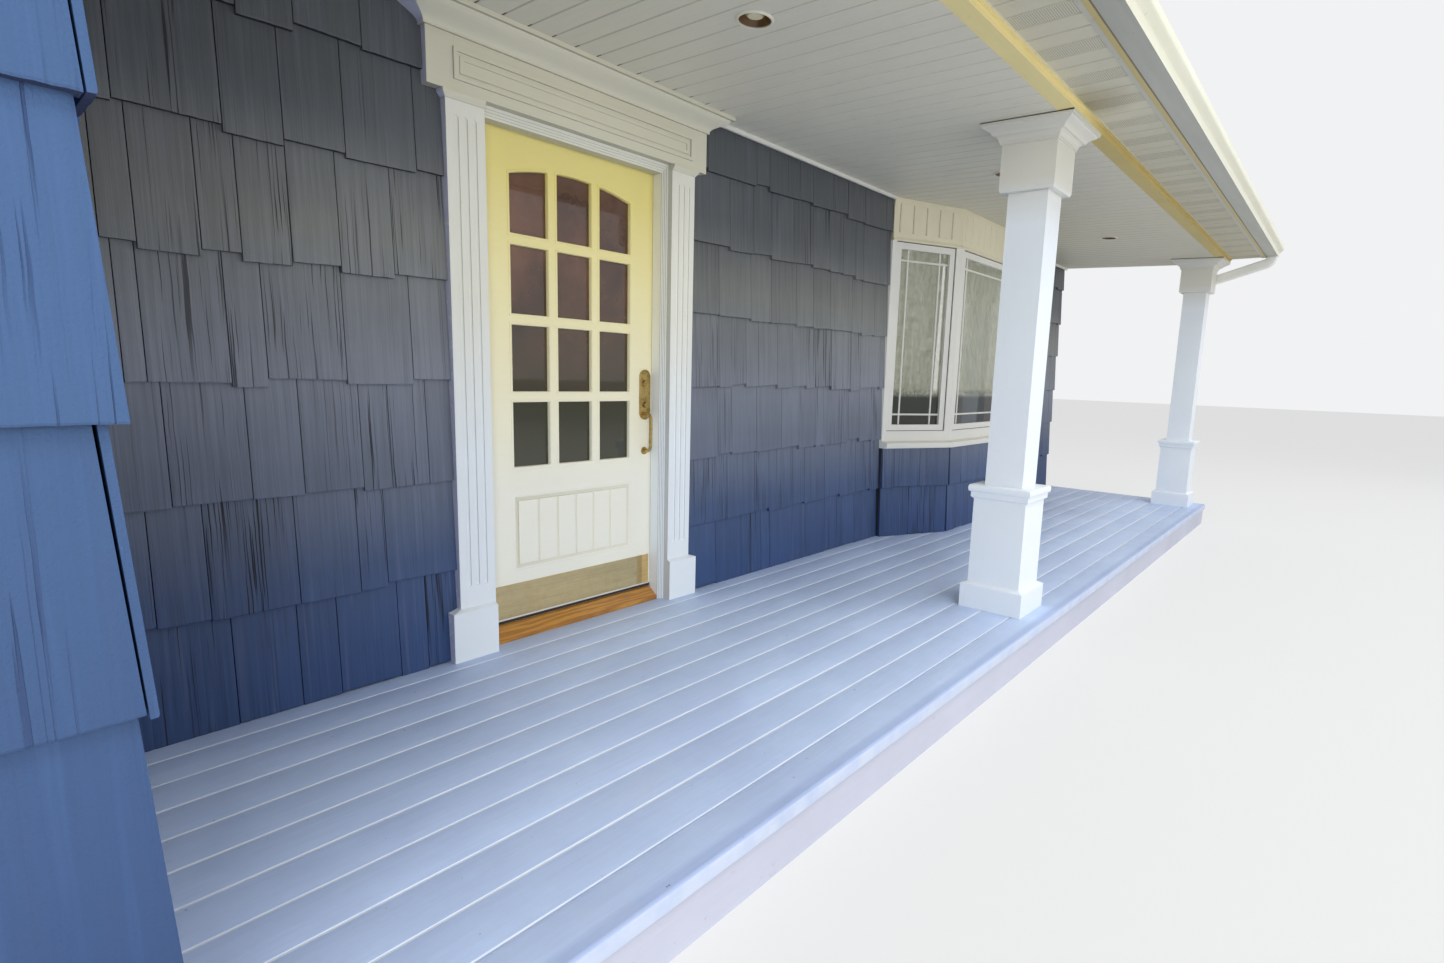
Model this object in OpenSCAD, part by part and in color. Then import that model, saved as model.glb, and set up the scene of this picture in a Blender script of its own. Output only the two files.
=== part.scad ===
// Recessed front porch of a shingled house, with its panelled entrance door.
// X runs along the wall to the right, Y into the house, Z up.
// The origin is at ground level under the middle of the doorway, on the wall's sheathing face.

/* [Deck] */
// Height of the walking surface above the ground
deck_h = 190; // [160:5:400]
// Distance from the wall to the deck's front edge
deck_depth = 1562.5; // [1400:0.5:2200]
// Distance from the door's centre to the deck's right end
deck_right = 6277; // [6200:1:8000]
// Thickness of the deck boards
board_t = 45; // [25:1:60]
// Pitch of the deck boards
board_pitch = 144.5; // [100:0.5:200]
// Open joint behind the front board
board_gap = 5; // [3:0.5:8]
// Radius on the front board's top edge
nose_r = 12; // [3:1:20]
// Thickness of the riser boards under the deck
riser_t = 19; // [12:1:40]
// Set-back of the riser from the deck's edge
riser_back = 12; // [5:1:60]
// Thickness of a joist
joist_t = 38; // [30:1:60]
// Spacing of the joists
joist_pitch = 406; // [300:1:610]

/* [House walls] */
// Width of the ledge in front of the wall that the deck rests on
ledge = 20; // [10:1:40]
// Thickness of the house wall behind its shingles
wall_t = 114; // [90:1:200]
// Distance from the door's centre to the wall's right end
wall_right = 6250; // [6150:1:8000]
// Distance from the door's centre to the projecting wing
wing_x = 1792; // [1500:1:3000]
// Length of wing front that is built
wing_len = 1038; // [600:1:3000]
// Set-back of the wing's front from the deck's edge
wing_back = 72.5; // [60:0.5:400]

/* [Shingle cladding] */
// Height of shingle that each course leaves bare
exposure = 353.6; // [120:0.1:400]
// Depth of the cladding at a butt
butt_t = 32; // [15:1:45]
// Depth of the cladding under the next butt
lap_t = 14; // [6:1:25]
// Height of the wing's lowest shingles above the ground
clad_low = 60; // [20:1:150]

/* [Columns] */
// Distance from the door's centre to the near column
col_x = 1621.5; // [1300:0.5:2200]
// Distance between the columns
col_pitch = 4420.5; // [3000:0.5:6000]
// Distance from the deck's front edge to the column line
col_inset = 252.5; // [180:0.5:400]
// Width of the pedestal's foot
foot_w = 312.6; // [280:0.1:360]
// Height of the pedestal's foot
foot_h = 131; // [60:1:200]
// Width of the pedestal
ped_w = 259; // [220:1:300]
// Height of the pedestal up to its cap
ped_h = 559; // [400:1:900]
// Width of the cap's lower board
cap_low_w = 284; // [264:1:320]
// Width of the cap's upper board
cap_top_w = 306.5; // [288:0.5:340]
// Height of each cap board
cap_board_h = 34; // [15:1:50]
// Width of the column shaft
shaft_w = 186; // [120:1:210]
// Height of the capital
capital_h = 291; // [200:0.5:400]
// Width of the capital's block
block_w = 254; // [216:1:280]
// Height of the capital's block
block_h = 203; // [80:1:220]
// Width of the capital's crown moulding
crown_w = 417; // [300:1:460]

/* [Beam and ceiling] */
// Width of the beam's underside
beam_w = 70; // [50:1:140]
// Depth of the beam hidden above the ceiling
beam_h = 150; // [100:1:220]
// Distance from the column line to the beam's inner face
beam_in = 142; // [60:1:190]
// Fall of the ceiling from the wall to the beam
ceil_fall = 49; // [0:1:49]
// Thickness of the ceiling and soffit panels
panel_t = 12; // [8:1:20]
// Height of the trim strip under the ceiling at the wall
strip_h = 20; // [10:1:40]
// Depth of that trim strip
strip_t = 16; // [8:1:30]

/* [Ceiling lights] */
// Distance from the door's centre to the first light
light_x = 55; // [-600:1:600]
// Distance between the lights
light_pitch = 2248; // [1200:1:2600]
// Distance from the wall to the lights
light_y = 880; // [500:1:1000]
// Radius of the light's trim ring
light_r = 66; // [60:1:100]
// Radius of the light's housing
can_r = 62; // [45:1:70]

/* [Eave and roof] */
// Distance from the wing's front to the fascia
overhang = 310; // [200:1:600]
// Height of the soffit above the columns
soffit_rise = 34.5; // [20:0.5:60]
// Height of the fascia board
fascia_h = 110; // [90:1:200]
// Thickness of the fascia board
fascia_t = 19; // [12:1:40]
// Slope of the roof in degrees
roof_slope = 18.4; // [12:0.1:30]
// Thickness of the roof boards
roof_t = 15; // [10:1:30]
// Height of roof shingle that each course leaves bare
roof_course = 140; // [100:1:250]
// Thickness of a roof shingle's butt
roof_butt = 9; // [4:1:15]
// Overhang of the roof's lower edge beyond the fascia
drip = 25; // [10:1:40]
// Distance from the door's centre to the roof's right end
roof_right = 6290; // [6285:1:8100]
// Thickness of the end panels under the roof
gable_t = 20; // [12:1:30]

/* [Gutter] */
// Width of the gutter's flat bottom
gutter_bottom = 86; // [60:1:110]
// Width of the gutter at its lip
gutter_top = 118; // [100:1:150]
// Height of the gutter
gutter_h = 92; // [70:1:105]
// Thickness of the gutter's sheet
gutter_t = 3; // [2:0.5:4]
// Width of the downpipe along the house
pipe_w = 60; // [50:1:66]
// Depth of the downpipe across the house
pipe_d = 80; // [60:1:90]
// Radius of the downpipe's bends
bend_r = 60; // [50:1:100]
// Turn of the downpipe's two upper bends in degrees
bend_turn = 72; // [60:1:80]

/* [Bay window] */
// Distance from the door's centre to the bay's left corner
bay_x = 2546; // [2300:1:3000]
// Width of the bay at the wall
bay_w = 2500; // [2100:1:2900]
// Width that each slanted side takes
flank_w = 545; // [400:1:700]
// Distance that the bay's front stands out from the wall
bay_out = 288; // [200:1:400]
// Thickness of the bay's base walls
bay_wall_t = 90; // [60:1:120]
// Height of the sill's top above the deck
sill_h = 690; // [400:1:1000]
// Thickness of the sill
sill_t = 50; // [30:1:80]
// Projection of the sill
sill_out = 42; // [34:1:80]
// Height of the frame's bottom rail
frame_rail = 72; // [40:1:120]
// Height of the window head above the deck
head_h = 2072; // [1800:1:2200]
// Width of the bay's corner posts on each face
post_w = 48; // [30:1:70]
// Width of the bay's end posts
end_post_w = 36; // [25:1:70]
// Width of the sash members
sash_w = 45; // [30:1:60]
// Thickness of the sashes
sash_t = 44; // [30:1:60]
// Set-back of the sashes from the bay's face
sash_back = 10; // [0:1:25]
// Thickness of the glass
glass_t = 6; // [4:1:12]
// Gap round each sash
sash_gap = 3; // [2:0.5:6]
// Height of the moulding under the head panel
band_mould_h = 22; // [10:1:40]
// Projection of the moulding under the head panel
band_mould_t = 10; // [5:1:25]

/* [Door] */
// Width of the door leaf
leaf_w = 910; // [760:1:1000]
// Height of the door leaf
leaf_h = 1999; // [1900:1:2010]
// Thickness of the door leaf
leaf_t = 44; // [38:1:60]
// Depth of the leaf's outer face behind the wall's face
leaf_y = 58; // [30:1:70]
// Gap round the leaf
leaf_gap = 5; // [5:0.5:8]
// Height of the threshold above the deck
sill_top = 54; // [30:1:90]
// Lap of the frame over the leaf's edge
stop_lap = 14; // [8:1:20]
// Thickness of the jambs behind the stop
jamb_t = 22; // [18:1:40]
// Number of glass lites across
lites_across = 3; // [1:1:4]
// Number of glass lites up
lites_up = 4; // [2:1:5]
// Width of a lite
lite_w = 180; // [100:1:180]
// Height of the leaf above the arch
top_rail = 122; // [90:1:200]
// Width of the glazing bars
bar_w = 40; // [20:1:42]
// Height of the lowest lite above the leaf's bottom
lite_low = 661; // [620:1:700]
// Rise of the arch over the top lites
arch_rise = 46; // [20:1:90]
// Half width of the moulded lower panel
panel_half = 316; // [200:1:340]
// Height of the lower panel above the leaf's bottom
panel_low = 219; // [200:1:260]
// Height of the lower panel
panel_h = 325; // [200:1:340]
// Depth of the panel's sunk moulding
panel_sink = 9; // [4:1:12]
// Width of the sunk moulding round the panel
panel_moat = 26; // [12:1:40]
// Number of boards in the lower panel
panel_boards = 6; // [3:1:10]
// Height of the kick plate
kick_h = 147; // [80:1:180]
// Height of the kick plate above the leaf's bottom
kick_low = 18; // [10:1:30]
// Margin of the kick plate from the leaf's edges
kick_side = 22; // [16:1:60]
// Thickness of the kick plate
kick_t = 1.5; // [1:0.5:3]
// Largest angle of the open door in degrees
door_open = 95; // [80:1:110]

/* [Door furniture] */
// Distance from the leaf's edge to the handle's centre
handle_in = 55; // [50:1:90]
// Height of the handle plate's foot above the leaf's bottom
handle_low = 842; // [700:1:900]
// Height of the handle plate
handle_h = 240; // [150:1:300]
// Width of the handle plate
handle_w = 66; // [50:1:80]
// Thickness of the handle plate
handle_t = 6; // [3:1:10]
// Radius of the grip's bar
grip_r = 8; // [6:0.5:11]
// Distance that the grip's bar stands out
grip_out = 48; // [40:1:70]
// Length of the grip
grip_len = 182; // [120:1:240]
// Height of a hinge
hinge_h = 100; // [75:1:125]
// Outer radius of a hinge's knuckle
knuckle_r = 6.5; // [5:0.5:9]
// Radius of a hinge's pin
pin_r = 4; // [2.5:0.5:4]
// Height of the lowest hinge above the leaf's bottom
hinge_low = 200; // [120:1:300]

/* [Door surround] */
// Width of the casing strip between the opening and a pilaster
casing_w = 26; // [15:1:60]
// Projection of that casing strip from the wall
casing_t = 20; // [12:1:30]
// Width of a pilaster
pil_w = 146; // [110:1:200]
// Projection of a pilaster from the wall
pil_t = 48; // [36:1:80]
// Number of flutes on a pilaster
flutes = 3; // [1:1:5]
// Distance between the flutes
flute_pitch = 34; // [20:1:40]
// Radius of a flute
flute_r = 8; // [4:1:9]
// Length of plain pilaster below the flutes
flute_stop = 90; // [40:1:200]
// Length of plain pilaster above the flutes
flute_top = 58; // [20:1:200]
// Height of a plinth block
plinth_h = 205; // [120:1:300]
// Projection of a plinth block in front of its pilaster
plinth_out = 18; // [5:1:24]
// Projection of a plinth block beyond its pilaster's outer edge
plinth_side = 37; // [5:1:60]
// Height of the pilasters' tops above the opening's head
neck_rise = 13; // [0:1:30]
// Height of the neck moulding under the frieze
neck_h = 26; // [20:1:60]
// Projection of the neck moulding from the pilasters
neck_out = 15; // [8:1:24]
// Height of the frieze
frieze_h = 182; // [120:1:200]
// Projection of the frieze from the wall
frieze_t = 56; // [50:1:110]
// Overhang of the frieze beyond the pilasters
frieze_side = 67; // [26:1:80]
// Margin above and below the frieze's panel
frieze_margin = 38; // [25:1:60]
// Margin beside the frieze's panel
frieze_ends = 95; // [40:1:160]
// Height that the frieze's panel stands out
frieze_raise = 8; // [3:1:15]
// Height of the crown
surround_crown_h = 85; // [50:1:140]
// Projection of the crown beyond the frieze's face
surround_crown_out = 93; // [40:1:100]
// Projection of the crown beyond the frieze's ends
surround_crown_side = 100; // [40:1:130]

/* [Hidden] */

seat = 0.3;
eps = 0.01;
long = 20000;

// Deck and column lines
base_h = deck_h - board_t;
deck_x0 = -wing_x + butt_t + seat;
col_y = -deck_depth + col_inset;
col_xs = [col_x, col_x + col_pitch];

// Wing
wing_y = -deck_depth + wing_back;
wing_end = -wing_x - wing_len;
wing_in = wing_y + wall_t;

// Doorway
leaf_z = deck_h + sill_top + leaf_gap;
leaf_top = leaf_z + leaf_h;
open_half = leaf_w / 2 - stop_lap;
jamb_half = leaf_w / 2 + leaf_gap;
rough_half = jamb_half + jamb_t;
rough_z = leaf_top + leaf_gap + jamb_t;
leaf_in = leaf_y + leaf_t;
hinge_x = -leaf_w / 2 - leaf_gap / 2;
hinge_y = leaf_in + knuckle_r + 0.5;

// Door surround
pil_in = open_half + casing_w;
pil_mid = pil_in + pil_w / 2;
pil_z0 = deck_h + plinth_h;
pil_z1 = leaf_top - stop_lap + neck_rise;
frieze_z = pil_z1 + neck_h;
frieze_half = pil_in + pil_w + frieze_side;
crown_z = frieze_z + frieze_h;
surround_crown_half = frieze_half + surround_crown_side;

// Beam, ceiling and soffit: the ceiling lies on the surround's crown
beam_y1 = col_y - beam_in;
beam_y0 = beam_y1 - beam_w;
beam_lip = 11;
ceil_slope = ceil_fall / -beam_y1;
ceil_tilt = atan(ceil_slope);
function ceil_z(y) = crown_z + surround_crown_h + seat + (y + frieze_t + surround_crown_out) * ceil_slope;
col_z = ceil_z(beam_y1) - 2 * seat;
shaft_z = col_z - capital_h;
soffit_z = col_z + soffit_rise;

// Eave and roof
fascia_y = wing_y - overhang;
fascia_in = fascia_y + fascia_t;
eave_z = soffit_z + fascia_h;
function roof_z(y) = eave_z + (y - fascia_y) * tan(roof_slope);

// Bay window
bay_x1 = bay_x + bay_w;
flank_a = atan((bay_out - butt_t) / flank_w);
flank_len = norm([flank_w, bay_out - butt_t]);
front_len = bay_w - 2 * flank_w;
sill_z = deck_h + sill_h;
head_z = deck_h + head_h;

// Extrudes a (Y, Z) outline from x0 to x1
module along_x(x0, x1) {
    translate([x0, 0, 0])
        rotate([90, 0, 90])
            linear_extrude(x1 - x0) children();
}

// Extrudes an (X, Z) outline from y0 to y1
module along_y(y0, y1) {
    translate([0, y1, 0])
        rotate([90, 0, 0])
            linear_extrude(y1 - y0) children();
}

module block(x0, x1, y0, y1, z0, z1) {
    translate([x0, y0, z0]) cube([x1 - x0, y1 - y0, z1 - z0]);
}

// Closes a half outline of [half width, height] points by its mirror image
function both_sides(pts) = concat(pts, [for (i = [len(pts) - 1:-1:0]) [-pts[i][0], pts[i][1]]]);

// Moulding mitred round a square post, from half widths and heights
module square_turned(cx, cy, pts) {
    reach = max([for (p = pts) p[0]]) + 1;
    translate([cx, cy, 0])
        intersection() {
            along_x(-reach, reach) polygon(both_sides(pts));
            along_y(-reach, reach) polygon(both_sides(pts));
        }
}

// Hollow quarter curve that flares out by p over a height h
function cove(x, z, p, h, steps) = [for (i = [0:steps])
    [x + p * (1 - cos(90 * i / steps)), z + h * sin(90 * i / steps)]];

// S-shaped moulding that flares out by p over a height h
function ogee(x, z, p, h, steps) = [for (i = [0:steps])
    [x + p * (1 - cos(180 * i / steps)) / 2, z + h * i / steps]];

// Lapped shingle courses, as a saw-tooth outline of (depth, height) from z0 to z1
function course_at(z) = floor((z - deck_h) / exposure + 0.001);
function lapped(z) = butt_t - (butt_t - lap_t) * z / exposure;
function last_course(z) = ceil((z - deck_h) / exposure - 0.001) - 1;
function course_tops(z0, z1) = [z0,
    each [for (k = [course_at(z0) + 1:last_course(z1)]) deck_h + k * exposure],
    z1];
function saw_tooth(z0, z1) = let (s = course_tops(z0, z1)) [for (i = [0:len(s) - 2])
    let (low = deck_h + course_at(s[i]) * exposure)
    each [[lapped(s[i] - low), s[i]], [lapped(s[i + 1] - low), s[i + 1]]]];

// Cladding on a wall face that looks to -Y, from x0 to x1
module cladding(x0, x1, y, z0, z1) {
    along_x(x0, x1) {
        polygon([for (p = concat([[0, z0]], saw_tooth(z0, z1), [[0, z1]])) [y - p[0], p[1]]]);
    }
}

// Wall slab under the roof's slope, from x0 to x1
module roofed_wall(x0, x1, y0, y1, z0) {
    along_x(x0, x1)
        polygon([[y0, z0], [y1, z0], [y1, roof_z(y1) - seat], [y0, roof_z(y0) - seat]]);
}

// Foundation strips under the house wall and the wing
module foundation_wall() {
    color("#8c8a86") {
        block(wing_end, wall_right, -ledge, wall_t, 0, base_h);
        block(wing_end, -wing_x, wing_y, wing_in, 0, base_h);
        for (x = [wing_end, -wing_x - wall_t])
            block(x, x + wall_t, wing_in + seat, -ledge - seat, 0, base_h);
    }
}

module wall_left_of_door() {
    color("#b9b4a8") roofed_wall(wing_end, -rough_half, 0, wall_t, base_h);
}

module wall_right_of_door() {
    color("#b9b4a8") roofed_wall(rough_half, bay_x, 0, wall_t, base_h);
}

module wall_over_door() {
    color("#b9b4a8") roofed_wall(-rough_half + seat, rough_half - seat, 0, wall_t, rough_z);
}

// Wall below the bay's sill and over its head
module wall_at_bay() {
    color("#b9b4a8") {
        block(bay_x + seat, bay_x1 - seat, 0, wall_t, base_h, sill_z - sill_t);
        roofed_wall(bay_x + seat, bay_x1 - seat, 0, wall_t, head_z);
    }
}

module wall_past_bay() {
    color("#b9b4a8") roofed_wall(bay_x1, wall_right, 0, wall_t, base_h);
}

module wing_front_wall() {
    color("#b9b4a8") roofed_wall(wing_end, -wing_x, wing_y, wing_in, base_h);
}

module wing_return_wall() {
    color("#b9b4a8") roofed_wall(-wing_x - wall_t, -wing_x, wing_in + seat, -seat, base_h);
}

module wing_side_wall() {
    color("#b9b4a8") roofed_wall(wing_end, wing_end + wall_t, wing_in + seat, -seat, base_h);
}

// Shingle courses of the house wall, fitted round the door's surround, and of the bay's base
module wall_shingles() {
    top = ceil_z(-butt_t) - seat;
    pil_out = pil_in + pil_w + seat;
    color("#3c414b") {
        difference() {
            union() {
                cladding(deck_x0, -pil_out, 0, deck_h, top);
                cladding(pil_out, bay_x - seat, 0, deck_h, top);
            }
            mirrored_block(pil_in + pil_w + plinth_side + seat, deck_h - 1, pil_z0 + seat);
            mirrored_block(frieze_half + seat, pil_z1, long);
            mirrored_block(surround_crown_half + seat, crown_z - seat, long);
        }
        cladding(bay_x1 + seat, wall_right, 0, deck_h, top);
        for (i = [0:2]) bay_cladding(i, deck_h, sill_z - sill_t);
    }
}

// Box in front of the wall, centred on the door
module mirrored_block(half, z0, z1) {
    block(-half, half, -long, 1, z0, z1);
}

// Shingle courses of the wing's front and of its return towards the door
module wing_shingles() {
    color("#35506e") {
        cladding(wing_end, -wing_x - seat, wing_y, clad_low, soffit_z);
        translate([-wing_x, wing_y, 0])
            rotate(90)
                cladding(-butt_t, -wing_y - butt_t - seat, 0, clad_low, soffit_z);
    }
}

// The bay's three faces: corners, directions, lengths and mitred ends at a depth d behind the face
function bay_corner(i) = [[bay_x, -butt_t], [bay_x + flank_w, -bay_out], [bay_x1 - flank_w, -bay_out]][i];
function bay_turn(i) = [-flank_a, 0, flank_a][i];
function bay_len(i) = i == 1 ? front_len : flank_len;
function bay_from(i, d, joint) = i == 0 ? -d * tan(flank_a) : d * tan(flank_a / 2) + joint;
function bay_to(i, d, joint) = bay_len(i) + (i == 2 ? d * tan(flank_a) : -d * tan(flank_a / 2) - joint);

module on_bay(i) {
    translate(bay_corner(i)) rotate(bay_turn(i)) children();
}

function bay_at(i, s, d) = let (t = bay_turn(i), c = bay_corner(i))
    [c[0] + s * cos(t) - d * sin(t), c[1] + s * sin(t) + d * cos(t)];

// Where a slanted side's inner line meets the wall, at depth d
function wall_end(d) = let (y = d / cos(flank_a) - butt_t)
    let (s = (d * cos(flank_a) - butt_t + seat) / sin(flank_a))
    y > -seat ? [bay_at(0, s, d), [bay_x, -seat]] : [[bay_x, y]];

// Plan of one face of the bay from depth d0 to depth d1, mitred at the corners
function bay_outline(i, d0, d1, joint) = i == 2
    ? [for (p = bay_outline(0, d0, d1, joint)) [bay_x + bay_x1 - p[0], p[1]]]
    : concat([bay_at(i, bay_from(i, d0, joint), d0), bay_at(i, bay_to(i, d0, joint), d0),
        bay_at(i, bay_to(i, d1, joint), d1)],
        i == 0 ? wall_end(d1) : [bay_at(i, bay_from(i, d1, joint), d1)]);
module bay_plan(i, d0, d1, joint = seat) {
    polygon(bay_outline(i, d0, d1, joint));
}

// Plan of the bay inside depth d, back to the wall
module bay_inside(d) {
    difference() {
        polygon([[bay_x + seat, -seat], [bay_x + seat, -butt_t], [bay_x + flank_w, -bay_out],
            [bay_x1 - flank_w, -bay_out], [bay_x1 - seat, -butt_t], [bay_x1 - seat, -seat]]);
        for (i = [0:2]) bay_plan(i, -1, d, 0);
    }
}

module bay_cladding(i, z0, z1) {
    intersection() {
        on_bay(i) cladding(-2 * butt_t, bay_len(i) + 2 * butt_t, 0, z0, z1);
        translate([0, 0, z0]) linear_extrude(z1 - z0) bay_plan(i, -butt_t - 1, 0);
    }
}

module bay_base() {
    color("#b9b4a8")
        for (i = [0:2])
            translate([0, 0, deck_h]) linear_extrude(sill_h - sill_t) bay_plan(i, 0, bay_wall_t);
}

// Window board: a rounded nosing outside, mitred at the corners, and a level seat through the wall
module bay_sill() {
    z0 = sill_z - sill_t;
    round = 10;
    nose_z = sill_z - 8 - round;
    rebate = [[1, z0], [12 - sill_out, z0], [12 - sill_out, z0 + 8], [-sill_out, z0 + 8]];
    nose = [for (a = [0:22.5:90]) [round - sill_out - round * cos(a), nose_z + round * sin(a)]];
    profile = concat(rebate, nose, [[0, sill_z], [1, sill_z]]);
    color("#f2efe6") {
        for (i = [0:2])
            intersection() {
                on_bay(i) along_x(-flank_w, 2 * front_len) polygon(profile);
                translate([0, 0, z0]) linear_extrude(sill_t) bay_plan(i, -sill_out - 1, -seat);
            }
        translate([0, 0, z0])
            linear_extrude(sill_t) {
                bay_inside(0);
                translate([bay_x + seat, -1]) square([bay_w - 2 * seat, wall_t + 1]);
            }
    }
}

// Corner posts, end posts and bottom rails that hold the sashes
module bay_posts() {
    z0 = sill_z;
    color("#f2efe6")
        for (i = [0:2]) {
            ends = bay_ends(i);
            translate([0, 0, z0]) linear_extrude(frame_rail) bay_plan(i, 0, sash_back + sash_t);
            for (side = [0, 1])
                translate([0, 0, z0])
                    linear_extrude(head_z - z0)
                        intersection() {
                            bay_plan(i, 0, sash_back + sash_t);
                            on_bay(i)
                                translate([side == 0 ? -flank_w : ends[1], -long / 2])
                                    square([side == 0 ? flank_w + ends[0] : flank_w, long]);
                        }
        }
}

// Where the posts of a face end, along that face
function bay_ends(i) = [i == 0 ? end_post_w : post_w, bay_len(i) - (i == 2 ? end_post_w : post_w)];

// Lowest and highest points of the sashes
sash_z0 = sill_z + frame_rail + seat;
sash_z1 = head_z - sash_gap;

module sash_slab(i, inset, d0, d1) {
    ends = bay_ends(i);
    on_bay(i)
        translate([ends[0] + sash_gap + inset, sash_back + d0, sash_z0 + inset])
            cube([ends[1] - ends[0] - 2 * sash_gap - 2 * inset, d1 - d0, sash_z1 - sash_z0 - 2 * inset]);
}

module bay_sashes() {
    color("#f4f2ea")
        for (i = [0:2])
            difference() {
                sash_slab(i, 0, 0, sash_t);
                sash_slab(i, sash_w, -1, sash_t + 1);
            }
}

module bay_glass() {
    color([0.35, 0.42, 0.4, 0.5])
        for (i = [0:2]) sash_slab(i, sash_w, sash_t / 2, sash_t / 2 + glass_t);
}

// Grooved band between the windows and the ceiling, with a moulding at its foot and a board inside
module bay_head_panel() {
    band_t = bay_wall_t / 2;
    color("#e9e3c6") {
        for (i = [0:2])
            intersection() {
                translate([0, 0, head_z]) {
                    linear_extrude(ceil_z(0) - head_z) bay_plan(i, 0, band_t);
                    linear_extrude(band_mould_h) bay_plan(i, -band_mould_t, 0.5);
                }
                under_ceiling();
            }
        translate([0, 0, head_z]) linear_extrude(panel_t) bay_inside(band_t + seat);
    }
}

// Space below the sloping ceiling
module under_ceiling() {
    along_x(-long, long)
        polygon([[0, 0], [0, ceil_z(0) - seat], [2 * beam_y0, ceil_z(2 * beam_y0) - seat], [2 * beam_y0, 0]]);
}

// Rebated side jambs with a casing strip, and the head between them
module door_frame() {
    head_low = leaf_top - stop_lap;
    stop = leaf_y - leaf_gap;
    color("#f3f1e9") {
        for (side = [-1, 1]) {
            translate([0, 0, base_h])
                linear_extrude(head_low - base_h - seat)
                    polygon([for (p = [[open_half, 0], [rough_half - seat, 0], [rough_half - seat, leaf_in],
                        [jamb_half, leaf_in], [jamb_half, stop], [open_half, stop]]) [side * p[0], p[1]]]);
            translate([0, 0, deck_h])
                linear_extrude(frieze_z - seat - deck_h)
                    polygon([for (p = casing(casing_w)) [side * (open_half + p[0]), p[1]]]);
            translate([0, 0, head_low])
                linear_extrude(leaf_top + leaf_gap - head_low + 1)
                    polygon([for (p = [[jamb_half, stop], [rough_half - seat, stop],
                        [rough_half - seat, leaf_in], [jamb_half, leaf_in]]) [side * p[0], p[1]]]);
        }
        along_x(-rough_half + seat, rough_half - seat)
            polygon([[0, head_low], [stop, head_low], [stop, leaf_top + leaf_gap],
                [leaf_in, leaf_top + leaf_gap], [leaf_in, rough_z - seat], [0, rough_z - seat]]);
        along_x(-pil_in + seat, pil_in - seat)
            polygon([for (p = casing(frieze_z - head_low)) [p[1], head_low + p[0]]]);
    }
}

// Outline of the stepped casing round the opening, as distance from its edge over a width w and depth
function casing(w) = concat([[0, 1]],
    [for (i = [0:3], end = [0, 1]) [i == 3 && end == 1 ? w - seat : w * (i + end) * 0.23, -casing_t * (i + 1) / 4]],
    [[w - seat, 0], [15, 0], [15, 1]]);

// Oak sill on the foundation, sloped from the leaf down to the deck
module threshold() {
    lip = 16;
    color("#b8843a")
        along_x(-open_half + seat, open_half - seat)
            polygon([[0, base_h], [wall_t, base_h], [wall_t, deck_h], [leaf_in + lip, deck_h],
                [leaf_in + lip, deck_h + sill_top], [leaf_y, deck_h + sill_top], [0, deck_h + lip]]);
}

// Fluted pilasters
module pilasters() {
    color("#f3f1e9")
        for (side = [-1, 1])
            difference() {
                block(side * pil_mid - pil_w / 2, side * pil_mid + pil_w / 2, -pil_t, -seat, pil_z0, pil_z1);
                for (k = [0:flutes - 1])
                    flute(side * pil_mid + (k - (flutes - 1) / 2) * flute_pitch);
            }
}

// One flute with rounded ends
module flute(x) {
    z0 = pil_z0 + flute_stop;
    z1 = pil_z1 - flute_top;
    translate([x, -pil_t, z0]) cylinder(r = flute_r, h = z1 - z0, $fn = 24);
    for (z = [z0, z1]) translate([x, -pil_t, z]) sphere(r = flute_r, $fn = 24);
}

// Plinth blocks with a sloped top
module plinth_blocks() {
    slope_h = 10;
    out = pil_in + pil_w;
    front = -pil_t - plinth_out;
    outline = [[pil_in, deck_h], [out + plinth_side, deck_h], [out + plinth_side, pil_z0 - slope_h],
        [out, pil_z0 - seat], [pil_in, pil_z0 - seat]];
    color("#f3f1e9")
        for (side = [-1, 1])
            intersection() {
                along_y(-long, -seat) polygon([for (p = outline) [side * p[0], p[1]]]);
                along_x(-long, long)
                    polygon([[0, deck_h], [front, deck_h], [front, pil_z0 - slope_h], [-pil_t, pil_z0 - seat],
                        [0, pil_z0 - seat]]);
            }
}

// Neck moulding and frieze with a raised panel frame
module entablature() {
    z0 = pil_z1 + seat;
    curl = neck_h * 0.7;
    neck = function (base)
        concat([[base, z0]], ogee(base + 3, z0, neck_out - 3, curl, 6), [[base + neck_out, frieze_z]]);
    front = concat(neck(pil_t), [[frieze_t, frieze_z], [frieze_t, crown_z - seat]]);
    ends = concat(neck(pil_in + pil_w), [[frieze_half, frieze_z], [frieze_half, crown_z - seat]]);
    color("#f3f1e9") {
        difference() {
            intersection() {
                along_x(-long / 2, long / 2)
                    polygon(concat([[-seat, z0]], [for (p = front) [-p[0], p[1]]], [[-seat, crown_z - seat]]));
                along_y(-long / 2, -seat) polygon(both_sides(ends));
            }
            block(-pil_in, pil_in, -long, 1, z0 - 1, frieze_z);
        }
        for (step = [0, 1])
            difference() {
                frieze_panel(step * 24, frieze_raise * (1 - step / 2));
                frieze_panel(14 + step * 24, frieze_raise + 1);
            }
    }
}

// Raised panel on the frieze, inset from the panel's outline
module frieze_panel(inset, raise) {
    half = frieze_half - frieze_ends - inset;
    block(-half, half, -frieze_t - raise, -frieze_t + 1, frieze_z + frieze_margin + inset,
        crown_z - frieze_margin - inset);
}

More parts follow.
